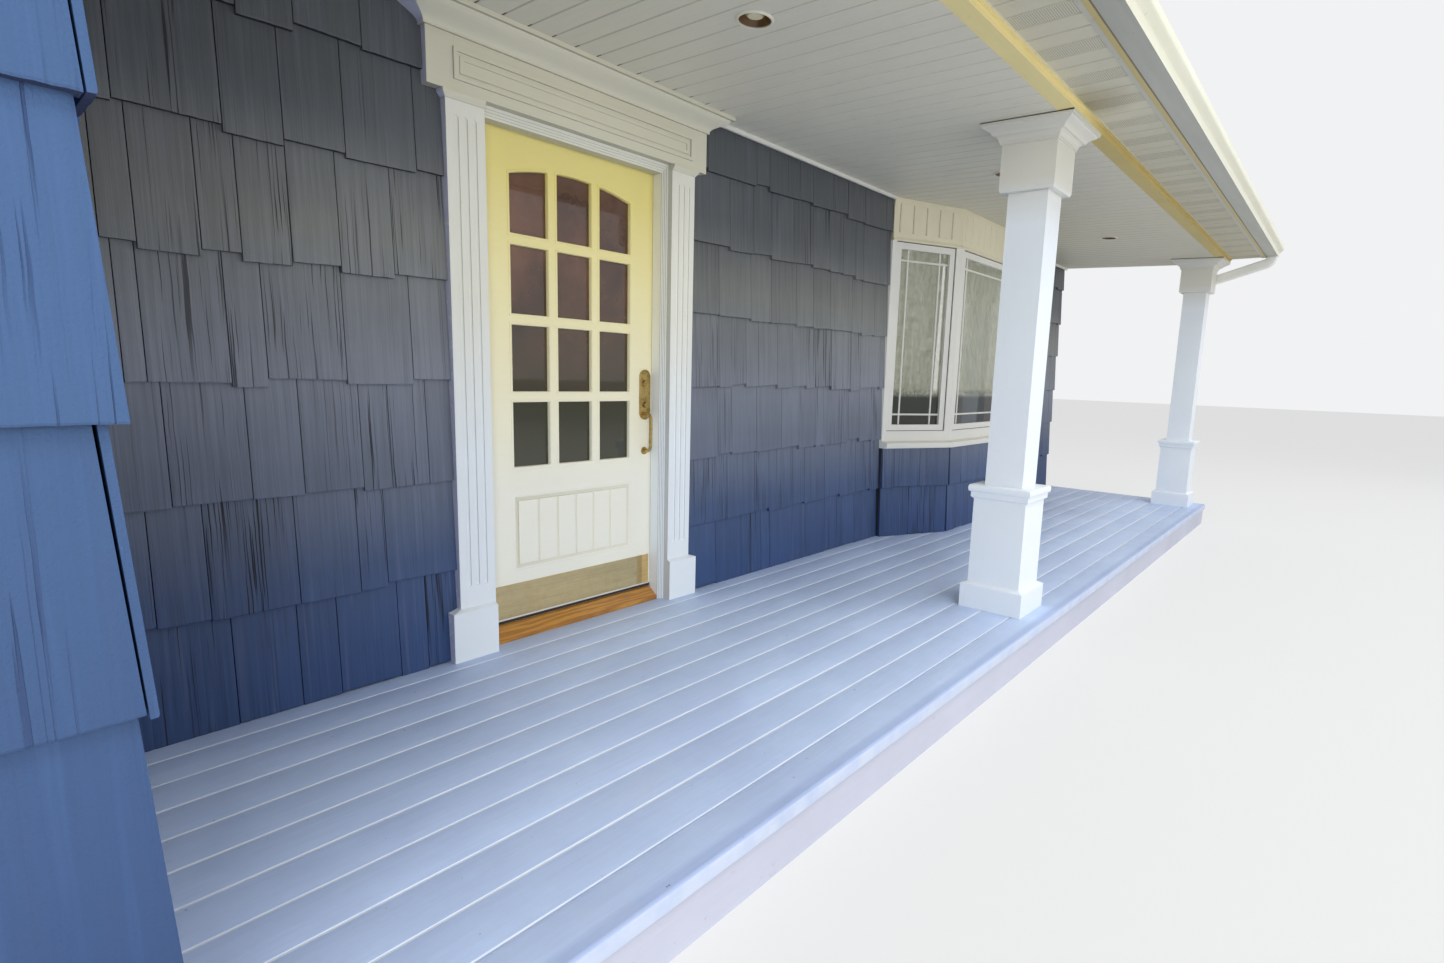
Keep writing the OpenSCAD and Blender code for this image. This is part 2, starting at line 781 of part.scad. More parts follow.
// Crown moulding over the frieze, returned at both ends
module door_crown() {
    h = surround_crown_h;
    lip = h * 0.2;
    run = function (base, p)
        concat([[base, crown_z], [base + p * 0.1, crown_z]],
            ogee(base + p * 0.1, crown_z + h * 0.1, p * 0.75, h * 0.7, 8),
            [[base + p, crown_z + h - lip], [base + p, crown_z + h]]);
    front = run(frieze_t, surround_crown_out);
    ends = run(frieze_half, surround_crown_side);
    color("#f3f1e9")
        intersection() {
            along_x(-long / 2, long / 2)
                polygon(concat([[-seat, crown_z]], [for (p = front) [-p[0], p[1]]], [[-seat, crown_z + h]]));
            along_y(-long / 2, -seat) polygon(both_sides(ends));
        }
}

// The glazed part, with its arched top, and the pocket that holds the glass
pocket = 8;
glazed_w = lites_across * lite_w + (lites_across - 1) * bar_w;
glazed_h = leaf_h - lite_low - top_rail;
lite_h = (glazed_h - (lites_up - 1) * bar_w) / lites_up;
arch_r = (pow(glazed_w / 2, 2) + pow(arch_rise, 2)) / (2 * arch_rise);
arch_z = leaf_z + lite_low + glazed_h - arch_r;
function arch_at(x, grow) = arch_z + sqrt(pow(arch_r + grow, 2) - x * x);

// Outline from x0 to x1 and up from z0 to the arch, grown by a margin
module arched_outline(x0, x1, z0, grow) {
    steps = ceil((x1 - x0) / 40);
    xs = [for (i = [0:steps]) x0 + (x1 - x0) * i / steps];
    polygon(concat([[x0, z0]], [for (x = xs) [x, arch_at(x, grow)]], [[x1, z0]]));
}

// Stiles, rails and glazing bars in one, with a bevelled lock edge and a pocket for the glass
module door_leaf() {
    lock_bevel = leaf_t * tan(3);
    color("#f2e7a4")
        difference() {
            translate([0, 0, leaf_z])
                linear_extrude(leaf_h)
                    polygon([[-leaf_w / 2, leaf_y], [leaf_w / 2 - lock_bevel, leaf_y], [leaf_w / 2, leaf_in],
                        [-leaf_w / 2, leaf_in]]);
            for (i = [0:lites_across - 1])
                for (k = [0:lites_up - 1])
                    lite(i, k);
            glass_sheet(pocket);
            for (face = [leaf_y, leaf_in]) moulded_panel(face);
        }
}

module lite(i, k) {
    x = -glazed_w / 2 + i * (lite_w + bar_w);
    z = leaf_z + lite_low + k * (lite_h + bar_w);
    along_y(leaf_y - 1, leaf_in + 1)
        if (k == lites_up - 1) {
            arched_outline(x, x + lite_w, z, 0);
        } else {
            translate([x, z]) square([lite_w, lite_h]);
        }
}

// Sunk moulding and board grooves of the lower panel, cut from one face of the leaf
module moulded_panel(face) {
    z0 = leaf_z + panel_low;
    z1 = z0 + panel_h;
    field = panel_half - panel_moat;
    board = 2 * field / panel_boards;
    groove = 4;
    difference() {
        block(-panel_half, panel_half, face - panel_sink, face + panel_sink, z0, z1);
        block(-field, field, face - panel_sink - 1, face + panel_sink + 1, z0 + panel_moat, z1 - panel_moat);
    }
    for (k = [1:panel_boards - 1])
        translate([-field + k * board, face, z0 + 1])
            rotate(45) translate([-groove, -groove, 0]) cube([2 * groove, 2 * groove, panel_h - 2]);
}

// One sheet of glass bedded in the leaf
module door_glass() {
    color([0.3, 0.33, 0.3, 0.5]) glass_sheet(pocket - seat);
}

module glass_sheet(grow) {
    half = glazed_w / 2 + grow;
    along_y(leaf_y + leaf_t / 2 - glass_t / 2, leaf_y + leaf_t / 2 + glass_t / 2)
        arched_outline(-half, half, leaf_z + lite_low - grow, grow);
}

module kick_plate() {
    color("#c9a24a")
        block(-leaf_w / 2 + kick_side, leaf_w / 2 - kick_side, leaf_y - kick_t, leaf_y,
            leaf_z + kick_low, leaf_z + kick_low + kick_h);
}

handle_x = leaf_w / 2 - handle_in;
handle_z = leaf_z + handle_low;
grip_z1 = handle_z + 30;
grip_z0 = grip_z1 - grip_len;
grip_bend = 30;
thumb_z = handle_z + 72;
lock_z = handle_z + handle_h * 0.72;

// Long plate with a lock cylinder, a thumb piece and a bow grip, and the knob inside
module door_handle() {
    arc = handle_w / 2;
    color("#8a6d33") {
        along_y(leaf_y - handle_t, leaf_y)
            translate([handle_x, handle_z]) {
                translate([-arc, arc]) square([handle_w, handle_h - handle_w]);
                for (z = [arc, handle_h - arc]) translate([0, z]) circle(r = arc, $fn = 48);
            }
        outward(lock_z, leaf_y, 17, 17, handle_t + 10);
        outward(thumb_z, leaf_y, 16, 12, handle_t + 14);
        outward(grip_z0, leaf_y, 19, 17, 7);
        for (z = [grip_z0, grip_z1]) outward(z, leaf_y, grip_r, grip_r, grip_out - grip_bend);
        grip_corner(grip_z0 + grip_bend, 180);
        grip_corner(grip_z1 - grip_bend, 90);
        translate([handle_x, leaf_y - grip_out, grip_z0 + grip_bend])
            cylinder(r = grip_r, h = grip_len - 2 * grip_bend, $fn = 32);
        inner_knob();
    }
}

// Round boss that stands out from a face towards -Y
module outward(z, face, r1, r2, h) {
    translate([handle_x, face, z]) rotate([90, 0, 0]) cylinder(r1 = r1, r2 = r2, h = h, $fn = 32);
}

// Quarter bend of the grip in the (Y, Z) plane, starting at an angle from +Y
module grip_corner(z, from) {
    translate([handle_x, leaf_y - grip_out + grip_bend, z])
        rotate([90, 0, 90])
            rotate([0, 0, from])
                rotate_extrude(angle = 90, $fn = 64) translate([grip_bend, 0]) circle(r = grip_r, $fn = 32);
}

// Knob and lock rose on the inside
module inner_knob() {
    translate([handle_x, leaf_in, thumb_z])
        rotate([-90, 0, 0])
            rotate_extrude($fn = 48)
                polygon([[0, 0], [31, 0], [31, 4], [24, 8], [11, 10], [10, 26], [22, 32], [27, 42], [25, 52],
                    [14, 58], [0, 59]]);
    translate([handle_x, leaf_in, lock_z])
        rotate([-90, 0, 0]) cylinder(r = 24, h = 5, $fn = 48);
}

hinge_zs = [leaf_z + hinge_low, leaf_z + leaf_h / 2, leaf_top - hinge_low - hinge_h];
knuckle_h = hinge_h * 0.4;
plate_t = 1.8;
plate_gap = 0.4;

// Moving half of each hinge: a plate on the leaf's edge and the middle knuckle
module leaf_hinges() {
    z0 = (hinge_h - knuckle_h) / 2;
    color("#8a6d33")
        for (z = hinge_zs) {
            block(-leaf_w / 2 - plate_t, -leaf_w / 2, leaf_y + 8, leaf_in, z, z + hinge_h);
            difference() {
                union() {
                    translate([hinge_x, hinge_y, z + z0]) cylinder(r = knuckle_r, h = knuckle_h, $fn = 32);
                    block(-leaf_w / 2 - plate_t, hinge_x + knuckle_r, leaf_in, hinge_y,
                        z + z0, z + z0 + knuckle_h);
                }
                translate([hinge_x, hinge_y, z - 1]) cylinder(r = pin_r + 0.06, h = hinge_h + 2, $fn = 32);
            }
        }
}

// Fixed half of each hinge: a plate on the jamb, two knuckles and the pin
module jamb_hinges() {
    end_h = (hinge_h - knuckle_h) / 2 - 0.5;
    color("#8a6d33")
        for (z = hinge_zs) {
            block(-jamb_half, -jamb_half + plate_t, leaf_y + 8, leaf_in, z, z + hinge_h);
            for (low = [z, z + hinge_h - end_h]) {
                translate([hinge_x, hinge_y, low]) cylinder(r = knuckle_r, h = end_h, $fn = 32);
                block(hinge_x - knuckle_r, -jamb_half + plate_t, leaf_in, hinge_y, low, low + end_h);
            }
            translate([hinge_x, hinge_y, z]) cylinder(r = pin_r, h = hinge_h, $fn = 32);
        }
}

// Deck boards, with the rounded front board as a solid of its own
module deck_boards() {
    y0 = -deck_depth;
    y1 = y0 + board_pitch - board_gap;
    color("#a9a6bd") {
        along_x(deck_x0, deck_right) front_board(y0, y1);
        block(deck_x0, deck_right, y1 + board_gap, -seat, base_h, deck_h);
    }
}

// Outline of the front board with a quarter round on its top edge
module front_board(y0, y1) {
    translate([y0, base_h]) square([y1 - y0, board_t - nose_r]);
    translate([y0 + nose_r, base_h]) square([y1 - y0 - nose_r, board_t]);
    translate([y0 + nose_r, deck_h - nose_r]) circle(r = nose_r, $fn = 32);
}

// Riser boards that close the deck's front and right end
module deck_risers() {
    y0 = -deck_depth + riser_back;
    x1 = deck_right - riser_back;
    color("#a3a0b8") {
        block(deck_x0, x1, y0, y0 + riser_t, 0, base_h - seat);
        block(x1 - riser_t, x1, y0 + riser_t + seat, x1 - riser_t > wall_right ? -seat : -ledge - seat,
            0, base_h - seat);
    }
}

module deck_joists() {
    y0 = -deck_depth + riser_back + riser_t + seat;
    x1 = deck_right - riser_back - riser_t - seat;
    count = floor((x1 - deck_x0 - joist_t) / joist_pitch);
    color("#a98f6a")
        for (k = [0:count])
            translate([deck_x0 + k * joist_pitch, 0, 0])
                block(0, joist_t, y0, -ledge - seat, 0, base_h - seat);
}

// Pedestals: a foot with a bevelled top and the boxed die on it
module pedestals() {
    bevel = 12;
    z0 = deck_h;
    color("#f3f3f1")
        for (x = col_xs)
            square_turned(x, col_y, [[foot_w / 2, z0], [foot_w / 2, z0 + foot_h - bevel],
                [ped_w / 2, z0 + foot_h], [ped_w / 2, z0 + ped_h]]);
}

// Two stepped boards on each pedestal
module pedestal_caps() {
    z0 = deck_h + ped_h + seat;
    round = 6;
    half_h = cap_board_h / 2;
    edge = [for (a = [0:30:180]) [cap_top_w / 2 - round + round * sin(a), z0 + 3 * half_h - half_h * cos(a)]];
    color("#f3f3f1")
        for (x = col_xs)
            square_turned(x, col_y, concat([[ped_w / 2 + 4, z0], [cap_low_w / 2, z0 + 8],
                [cap_low_w / 2, z0 + cap_board_h]], edge));
}

module column_shafts() {
    z0 = deck_h + ped_h + 2 * cap_board_h + 2 * seat;
    color("#f3f3f1")
        for (x = col_xs)
            translate([x, col_y, 0])
                block(-shaft_w / 2, shaft_w / 2, -shaft_w / 2, shaft_w / 2, z0, shaft_z);
}

// Capital: a boxed block with a stepped crown on it, which leans with the ceiling
module capitals() {
    z0 = shaft_z + seat;
    foot = 10;
    half = block_w / 2;
    crown_h = col_z - z0 - block_h;
    color("#f3f3f1")
        for (x = col_xs) {
            square_turned(x, col_y, [[half - 6, z0], [half, z0 + foot], [half, col_z - crown_h / 2]]);
            translate([0, beam_y1, col_z])
                rotate([ceil_tilt, 0, 0])
                    translate([0, -beam_y1, -col_z])
                        square_turned(x, col_y, crown_moulding(half, crown_w / 2 - half, col_z - crown_h, crown_h));
            block(x - crown_w / 2, x + crown_w / 2, beam_y0, beam_y1, col_z - crown_h * 0.1, col_z);
        }
}

// Bead, hollow, step, S-curve and rim of a crown that flares out by p over a height h
function crown_moulding(x, p, z, h) = concat(
    [[x + p * 0.08, z], [x + p * 0.08, z + h * 0.1]],
    cove(x + p * 0.12, z + h * 0.1, p * 0.3, h * 0.32, 4),
    ogee(x + p * 0.48, z + h * 0.5, p * 0.42, h * 0.32, 6),
    [[x + p, z + h * 0.84], [x + p, z + h]]);

// Boxed beam with a stepped outer trim, on the capitals
module porch_beam() {
    z0 = col_z + seat;
    step = (soffit_z - z0) * 0.7;
    color("#e6dcb4")
        along_x(deck_x0, wall_right)
            polygon([[beam_y1, z0], [beam_y0, z0], [beam_y0, z0 + step], [beam_y0 - beam_lip, z0 + step],
                [beam_y0 - beam_lip, soffit_z + panel_t], [beam_y0, soffit_z + panel_t],
                [beam_y0, z0 + beam_h], [beam_y1, z0 + beam_h]]);
}

// Sloping ceiling with holes for the lights
module ceiling_panel() {
    color("#c9c8c2")
        difference() {
            along_x(deck_x0, wall_right)
                polygon([[-seat, ceil_z(0)], [-seat, ceil_z(0) + panel_t],
                    [beam_y1 + seat, ceil_z(beam_y1) + panel_t], [beam_y1 + seat, ceil_z(beam_y1)]]);
            for (x = light_xs)
                at_light(x) translate([0, 0, -panel_t]) cylinder(r = can_r + 2, h = 4 * panel_t, $fn = 64);
        }
}

light_xs = [for (k = [0:2]) light_x + k * light_pitch];
module at_light(x) {
    translate([x, -light_y, ceil_z(-light_y)]) rotate([ceil_tilt, 0, 0]) children();
}

// Recessed lights: ring, housing and lamp turned as one
module recessed_lights() {
    can_h = 70;
    throat = can_r - 8;
    color("#cfc8b4")
        for (x = light_xs)
            at_light(x)
                rotate_extrude($fn = 64)
                    polygon([[0, 6], [26, 8], [34, 14], [36, 26], [throat - 10, 26], [throat, -seat],
                        [throat + 3, -6], [light_r - 4, -6], [light_r, -2], [light_r, -seat], [can_r, -seat],
                        [can_r, can_h], [0, can_h]]);
}

// Trim strip along the top of the shingles
module ceiling_trim() {
    y1 = -butt_t;
    y0 = y1 - strip_t;
    color("#f1efe8")
        for (run = [[deck_x0, -surround_crown_half - seat], [surround_crown_half + seat, bay_x],
            [bay_x1, wall_right]])
            along_x(run[0], run[1])
                polygon([[y0, ceil_z(y0) - strip_h], [y1, ceil_z(y1) - strip_h], [y1, ceil_z(y1) - seat],
                    [y0, ceil_z(y0) - seat]]);
}

// Soffit panels over the wing and over the porch
module eave_soffit() {
    y0 = fascia_in + seat;
    z1 = soffit_z + panel_t;
    color("#c6c4bc") {
        block(wing_end + gable_t + seat, deck_x0, y0, wing_y - butt_t - seat, soffit_z, z1);
        block(deck_x0, wall_right, y0, beam_y0 - beam_lip - seat, soffit_z, z1);
    }
}

// Fascia board with a lip that carries the soffit's edge
module eave_fascia() {
    lip = fascia_in + 22;
    z0 = soffit_z - 5;
    color("#9c9c98")
        along_x(wing_end, wall_right + gable_t)
            polygon([[fascia_y, z0], [lip, z0], [lip, soffit_z - seat], [fascia_in, soffit_z - seat],
                [fascia_in, roof_z(fascia_in) - seat], [fascia_y, eave_z - seat]]);
}

// Outline of the gutter's outer face from the bottom to the lip, as distance from the fascia and height
function gutter_face() = concat([[gutter_bottom, 0]],
    ogee(gutter_bottom + 4, gutter_h * 0.28, gutter_top - gutter_bottom - 4, gutter_h * 0.44, 6),
    [[gutter_top, gutter_h]]);

// Open trough with a moulded front, hung on the fascia, with end caps
module gutter() {
    outer = concat([[seat, gutter_h], [seat, 0]], gutter_face());
    inner = [for (p = gutter_face()) [p[0] - gutter_t, max(p[1], gutter_t)]];
    z0 = soffit_z - 2;
    color("#f0eee2") {
        along_x(wing_end, roof_right)
            polygon([for (p = concat(outer, [for (i = [len(inner) - 1:-1:0]) inner[i]],
                [[seat + gutter_t, gutter_t], [seat + gutter_t, gutter_h]])) [fascia_y - p[0], z0 + p[1]]]);
        for (x = [wing_end, roof_right - gutter_t])
            along_x(x, x + gutter_t)
                polygon([for (p = outer) [fascia_y - p[0], z0 + p[1]]]);
    }
}

// Downpipe: two bends back to the column's far side, a straight drop and a shoe
pipe_x = col_xs[1] + foot_w / 2 + pipe_w / 2 + 5;
pipe_y = fascia_y - gutter_bottom / 2;
pipe_top = soffit_z - 2 - seat;
pipe_neck = 5;
run_len = (col_y - pipe_y - 2 * bend_r * (1 - cos(bend_turn))) / sin(bend_turn);
drop_z = pipe_top - pipe_neck - 2 * bend_r * sin(bend_turn) - run_len * cos(bend_turn);
shoe_r = 60;
shoe_z = deck_h + shoe_r + pipe_w / 2 + 6;

module downpipe() {
    elbow_y = pipe_y + bend_r * (1 - cos(bend_turn));
    elbow_z = pipe_top - pipe_neck - bend_r * sin(bend_turn);
    color("#eeeeea") {
        straight_pipe(pipe_y, pipe_top, 180, pipe_neck);
        translate([pipe_x, pipe_y + bend_r, pipe_top - pipe_neck]) pipe_bend(180);
        straight_pipe(elbow_y, elbow_z, bend_turn - 180, run_len);
        translate([pipe_x, col_y - bend_r, drop_z]) pipe_bend(0);
        straight_pipe(col_y, drop_z, 180, drop_z - shoe_z);
        difference() {
            pipe_shoe(0, 70, 0);
            pipe_shoe(50, 21, 3);
        }
        for (z = [deck_h + ped_h + shaft_w * 2, shaft_z - shaft_w])
            block(col_xs[1] + shaft_w / 2 + seat, pipe_x - pipe_w / 2 - seat, col_y - 15, col_y + 15,
                z, z + 25);
    }
}

// Section of the pipe with rounded corners, its depth along the first axis
module pipe_section(depth, width, wall) {
    r = 12;
    square([depth - 2 * r, width - 2 * wall], center = true);
    square([depth - 2 * wall, width - 2 * r], center = true);
    for (a = [-1, 1])
        for (b = [-1, 1])
            translate([a * (depth / 2 - r), b * (width / 2 - r)]) circle(r = r - wall, $fn = 32);
}

// Straight length of pipe between two joints, turned about X
module straight_pipe(y, z, turn, h) {
    translate([pipe_x, y, z])
        rotate([turn, 0, 0])
            translate([0, 0, seat])
                linear_extrude(h - 2 * seat) rotate(90) pipe_section(pipe_d, pipe_w, 0);
}

// Bend in the (Y, Z) plane, starting at an angle from +Y
module pipe_bend(from) {
    rotate([90, 0, 90])
        rotate([0, 0, from])
            rotate_extrude(angle = bend_turn, $fn = 96)
                translate([bend_r, 0]) pipe_section(pipe_d, pipe_w, 0);
}

// Shoe that turns the water off the deck's end
module pipe_shoe(from, turn, wall) {
    translate([pipe_x + shoe_r, col_y, shoe_z])
        rotate([90, 0, 0])
            rotate([0, 0, 180 + from])
                rotate_extrude(angle = turn, $fn = 96)
                    translate([shoe_r, 0]) pipe_section(pipe_w, pipe_d, wall);
}

// Roof boards with lapped shingle courses
module roof() {
    run = (wall_t - fascia_y + drip) / cos(roof_slope);
    courses = ceil(run / roof_course);
    at = function (s, t) [fascia_y - drip + s * cos(roof_slope) - t * sin(roof_slope),
        eave_z - drip * tan(roof_slope) + s * sin(roof_slope) + t * cos(roof_slope)];
    butt = roof_t + roof_butt;
    lap = roof_t + roof_butt * 0.3;
    top = [for (k = [0:courses - 1])
        each [at(k * roof_course, butt), at(min((k + 1) * roof_course, run), lap)]];
    color("#5b5a58")
        along_x(wing_end, roof_right)
            polygon(concat([at(0, 0)], top, [at(run, 0)]));
}

// End panels that close the attic and the open end of the eave
module gable_panels() {
    y0 = fascia_in + seat;
    wing_face = wing_y - butt_t - seat;
    color("#f1efe8") {
        along_x(wall_right + seat, wall_right + gable_t)
            polygon([[y0, soffit_z], [beam_y0 - beam_lip, soffit_z], [beam_y1, ceil_z(beam_y1)],
                [0, ceil_z(0)], [wall_t, ceil_z(0)], [wall_t, roof_z(wall_t) - seat],
                [y0, roof_z(y0) - seat]]);
        along_x(wing_end, wing_end + gable_t)
            polygon([[y0, soffit_z], [wing_face, soffit_z], [wing_face, roof_z(wing_face) - seat],
                [y0, roof_z(y0) - seat]]);
    }
}

foundation_wall();
wall_left_of_door();
wall_right_of_door();
wall_over_door();
wall_at_bay();
wall_past_bay();
wing_front_wall();
wing_return_wall();
wing_side_wall();
wall_shingles();
wing_shingles();
bay_base();
bay_sill();
bay_posts();
bay_sashes();
bay_glass();
bay_head_panel();
door_frame();
threshold();
pilasters();
plinth_blocks();
entablature();
door_crown();
door_leaf();
door_glass();
kick_plate();
door_handle();
leaf_hinges();
jamb_hinges();
deck_boards();
deck_risers();
deck_joists();
pedestals();
pedestal_caps();
column_shafts();
capitals();
porch_beam();
ceiling_panel();
ceiling_trim();
recessed_lights();
eave_soffit();
eave_fascia();
gutter();
downpipe();
roof();
gable_panels();
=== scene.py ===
import math
import random
from types import SimpleNamespace

import bmesh
import bpy
from mathutils import Matrix, Vector


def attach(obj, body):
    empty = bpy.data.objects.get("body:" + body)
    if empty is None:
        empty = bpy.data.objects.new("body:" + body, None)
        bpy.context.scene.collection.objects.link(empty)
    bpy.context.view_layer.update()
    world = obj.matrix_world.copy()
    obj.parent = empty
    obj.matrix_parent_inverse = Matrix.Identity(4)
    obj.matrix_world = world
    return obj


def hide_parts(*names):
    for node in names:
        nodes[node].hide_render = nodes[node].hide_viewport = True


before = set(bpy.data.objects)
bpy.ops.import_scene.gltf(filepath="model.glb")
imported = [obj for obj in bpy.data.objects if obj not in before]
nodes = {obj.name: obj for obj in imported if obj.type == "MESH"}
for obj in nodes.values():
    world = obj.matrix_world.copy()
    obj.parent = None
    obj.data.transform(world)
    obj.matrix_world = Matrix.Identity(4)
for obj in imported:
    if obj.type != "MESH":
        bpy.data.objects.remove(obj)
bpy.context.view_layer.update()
print("frame loaded:", len(nodes), "nodes")

# heights and lines of the house, in metres, as the frame was built
deckTop = 0.190
deckLeft, deckRight = -1.7597, 6.277
wallRight = 6.250
casingHalf = 0.6133  # the shingles stop at the door's surround
bayLeft, bayRight, bayBaseTop = 2.5457, 5.0463, 0.829
wingCorner, wingEnd, wingSide = (-1.792, -1.490), -2.830, 1.4577
soffitLow, soffitBack = 2.530, -1.54
ceilingLine = {"z": 2.5403, "y": -0.149, "rise": 0.033747}


def ceilingAt(y):
    return ceilingLine["z"] + (y - ceilingLine["y"]) * ceilingLine["rise"]


def setOut(name, data):
    thing = bpy.data.objects.new(name, data)
    bpy.context.scene.collection.objects.link(thing)
    return thing


# camera: the photograph's own viewpoint, with its axes built from yaw, pitch and roll
cameraSet = {"place": (-1.931, -2.598, 1.331), "yaw": 50.239, "pitch": -8.564, "roll": 1.8125,
             "lens": 17.818, "shiftX": -0.02296, "shiftY": -0.00037}


def makeCamera():
    yaw, pitch, roll = (math.radians(cameraSet[k]) for k in ("yaw", "pitch", "roll"))
    ahead = Vector((math.sin(yaw) * math.cos(pitch), math.cos(yaw) * math.cos(pitch), math.sin(pitch)))
    level = Vector((math.cos(yaw), -math.sin(yaw), 0))
    upward = level.cross(ahead)
    across = math.cos(roll) * level + math.sin(roll) * upward
    tall = -math.sin(roll) * level + math.cos(roll) * upward
    data = bpy.data.cameras.new("porchView")
    data.lens = cameraSet["lens"]
    data.sensor_width = 36
    data.shift_x = cameraSet["shiftX"]
    data.shift_y = cameraSet["shiftY"]
    data.clip_start = 0.05
    view = setOut("porchView", data)
    view.matrix_world = Matrix.Translation(cameraSet["place"]) @ Matrix(
        (across, tall, -ahead)).transposed().to_4x4()
    bpy.context.scene.camera = view


makeCamera()
bpy.context.scene.view_settings.view_transform = "Standard"


def paint(r, g, b):
    def tone(c):
        return c / 3294.6 if c <= 10 else ((c / 255 + 0.055) / 1.055) ** 2.4
    return (tone(r), tone(g), tone(b), 1.0)


def colour(tone):
    # a grey level, a paint of 0 to 255, or a colour that is ready
    if not hasattr(tone, "__len__"):
        return (tone, tone, tone, 1)
    return paint(*tone) if len(tone) == 3 else tone


def toneRange(tone, spread):
    return [tuple(min(1.0, c * k) for c in colour(tone)[:3]) + (1.0,) for k in (1 - spread, 1 + spread)]


# a finish f holds its material, tree, shader, place and the ground colour so far
def startFinish(name, roughness=0.5, others=None):
    material = bpy.data.materials.new(name)
    material.use_nodes = True
    tree = material.node_tree
    f = SimpleNamespace(material=material, tree=tree, shader=tree.nodes["Principled BSDF"], ground=None)
    f.place = add(f, "TexCoord").outputs["Object"]
    for socket, value in {"Roughness": roughness, **(others or {})}.items():
        plug(f, value, f.shader.inputs[socket])
    return f


def plug(f, value, socket):
    if isinstance(value, bpy.types.NodeSocket):
        f.tree.links.new(value, socket)
    else:
        socket.default_value = colour(value) if socket.type == "RGBA" else value


def add(f, kind, inputs=None, **settings):
    node = f.tree.nodes.new("ShaderNode" + kind)
    for name, value in settings.items():
        setattr(node, name, value)
    for socket, value in (inputs or {}).items():
        plug(f, value, node.inputs[socket])
    return node


# node helpers: each gives back an output socket, or a row of them
def stretched(f, scale, at):
    return add(f, "Mapping", {"Vector": at, "Scale": scale}).outputs["Vector"]


def cloudy(f, size, detail=3.0, coarse=0.5, twist=0.0, stretch=None, at=None):
    at = f.place if at is None else at
    at = stretched(f, stretch, at) if stretch else at
    return add(f, "TexNoise", {"Vector": at, "Scale": size, "Detail": detail, "Roughness": coarse,
                               "Distortion": twist}).outputs["Fac"]


def ramp(f, factor, *stops):
    node = add(f, "ValToRGB", {"Fac": factor})
    line = node.color_ramp
    while len(line.elements) < len(stops):
        line.elements.new(0.5)
    for element, (place, tone) in zip(line.elements, stops):
        element.position = place
        element.color = colour(tone)
    return node.outputs["Color"]


def mixed(f, factor, first, second, way="MIX"):
    return add(f, "Mix", {0: factor, 6: first, 7: second}, data_type="RGBA", blend_type=way).outputs[2]


def sums(f, way, first, second=0.0):
    return add(f, "Math", {0: first, 1: second}, operation=way).outputs[0]


def plus(f, first, second):
    return sums(f, "ADD", first, second)


def times(f, first, *others):
    for other in others:
        first = sums(f, "MULTIPLY", first, other)
    return first


def below(f, value, limit):
    return sums(f, "LESS_THAN", value, limit)


def split(f, vector):
    return add(f, "SeparateXYZ", {0: vector}).outputs


def facing(f):
    return split(f, add(f, "NewGeometry").outputs["True Normal"])


def boardMarks(f):
    # tone, depth of the cracks and a shift of the pattern, as marked on each board
    return split(f, add(f, "Attribute", attribute_name="board").outputs["Vector"])


def moved(f, place, *steps):
    step = add(f, "CombineXYZ", dict(enumerate(steps)))
    return add(f, "VectorMath", {0: place, 1: step.outputs[0]}, operation="ADD").outputs[0]


def between(f, value, low, high, first=0.0, last=1.0):
    return add(f, "MapRange", {0: value, 1: low, 2: high, 3: first, 4: last}).outputs[0]


def band(f, value, low, high, soft=0.001):
    # 1 between low and high, with soft edges
    return times(f, between(f, value, low - soft, low + soft), between(f, value, high + soft, high - soft))


# what changes the ground colour so far
def cover(f, factor, tone):
    f.ground = mixed(f, factor, f.ground, tone)


def tint(f, tone, factor=1.0):
    f.ground = mixed(f, factor, f.ground, tone, "MULTIPLY")


def patches(f, tone, spread, cloud, low=0.3, high=0.7):
    dark, light = toneRange(tone, spread)
    f.ground = ramp(f, cloud, (low, dark), (high, light))


def soil(f, tone, low, high, most, *cloud, **where):
    # a tone laid on where a cloud is thick
    cover(f, ramp(f, cloudy(f, *cloud, **where), (low, 0.0), (high, most)), tone)


def shaded(f, change):
    level = plus(f, change, 1.0)
    f.ground = add(f, "VectorMath", {0: f.ground, "Scale": level}, operation="SCALE").outputs[0]


def along(f, *stops):
    # tones from the house's left to its right, over six metres
    tint(f, ramp(f, sums(f, "DIVIDE", split(f, f.place)[0], 6.0), *stops))


def finished(f, relief=None, distance=0.0, shine=None):
    plug(f, f.ground, f.shader.inputs["Base Color"])
    if relief is not None:
        raised = add(f, "Bump", {"Strength": 1.0, "Distance": distance, "Height": relief})
        plug(f, raised.outputs["Normal"], f.shader.inputs["Normal"])
    if shine is not None:
        plug(f, shine, f.shader.inputs["Roughness"])
    return f


# painted wood and metal: soft patches, brush marks along one axis, small specks of dirt
def painted(name, tone, spread=0.05, brush=(3, 3, 60), brushSpread=0.03, patch=1.3, relief=0.0004,
            roughness=0.42, specks=0.15, dirt=(110, 104, 96), dirtSize=38):
    f = startFinish(name, roughness)
    patches(f, tone, spread, cloudy(f, patch, 4, 0.55))
    marks = cloudy(f, 6, 3, 0.6, stretch=brush)
    tint(f, ramp(f, marks, (0.25, 1 - brushSpread * 2), (0.75, 1.0)))
    soil(f, dirt, 0.66, 0.74, specks, dirtSize, 5, 0.65)
    shine = ramp(f, marks, (0.2, roughness * 0.85), (0.8, min(1, roughness * 1.2)))
    return finished(f, plus(f, marks, times(f, cloudy(f, 260, 2), 0.5)), relief, shine)


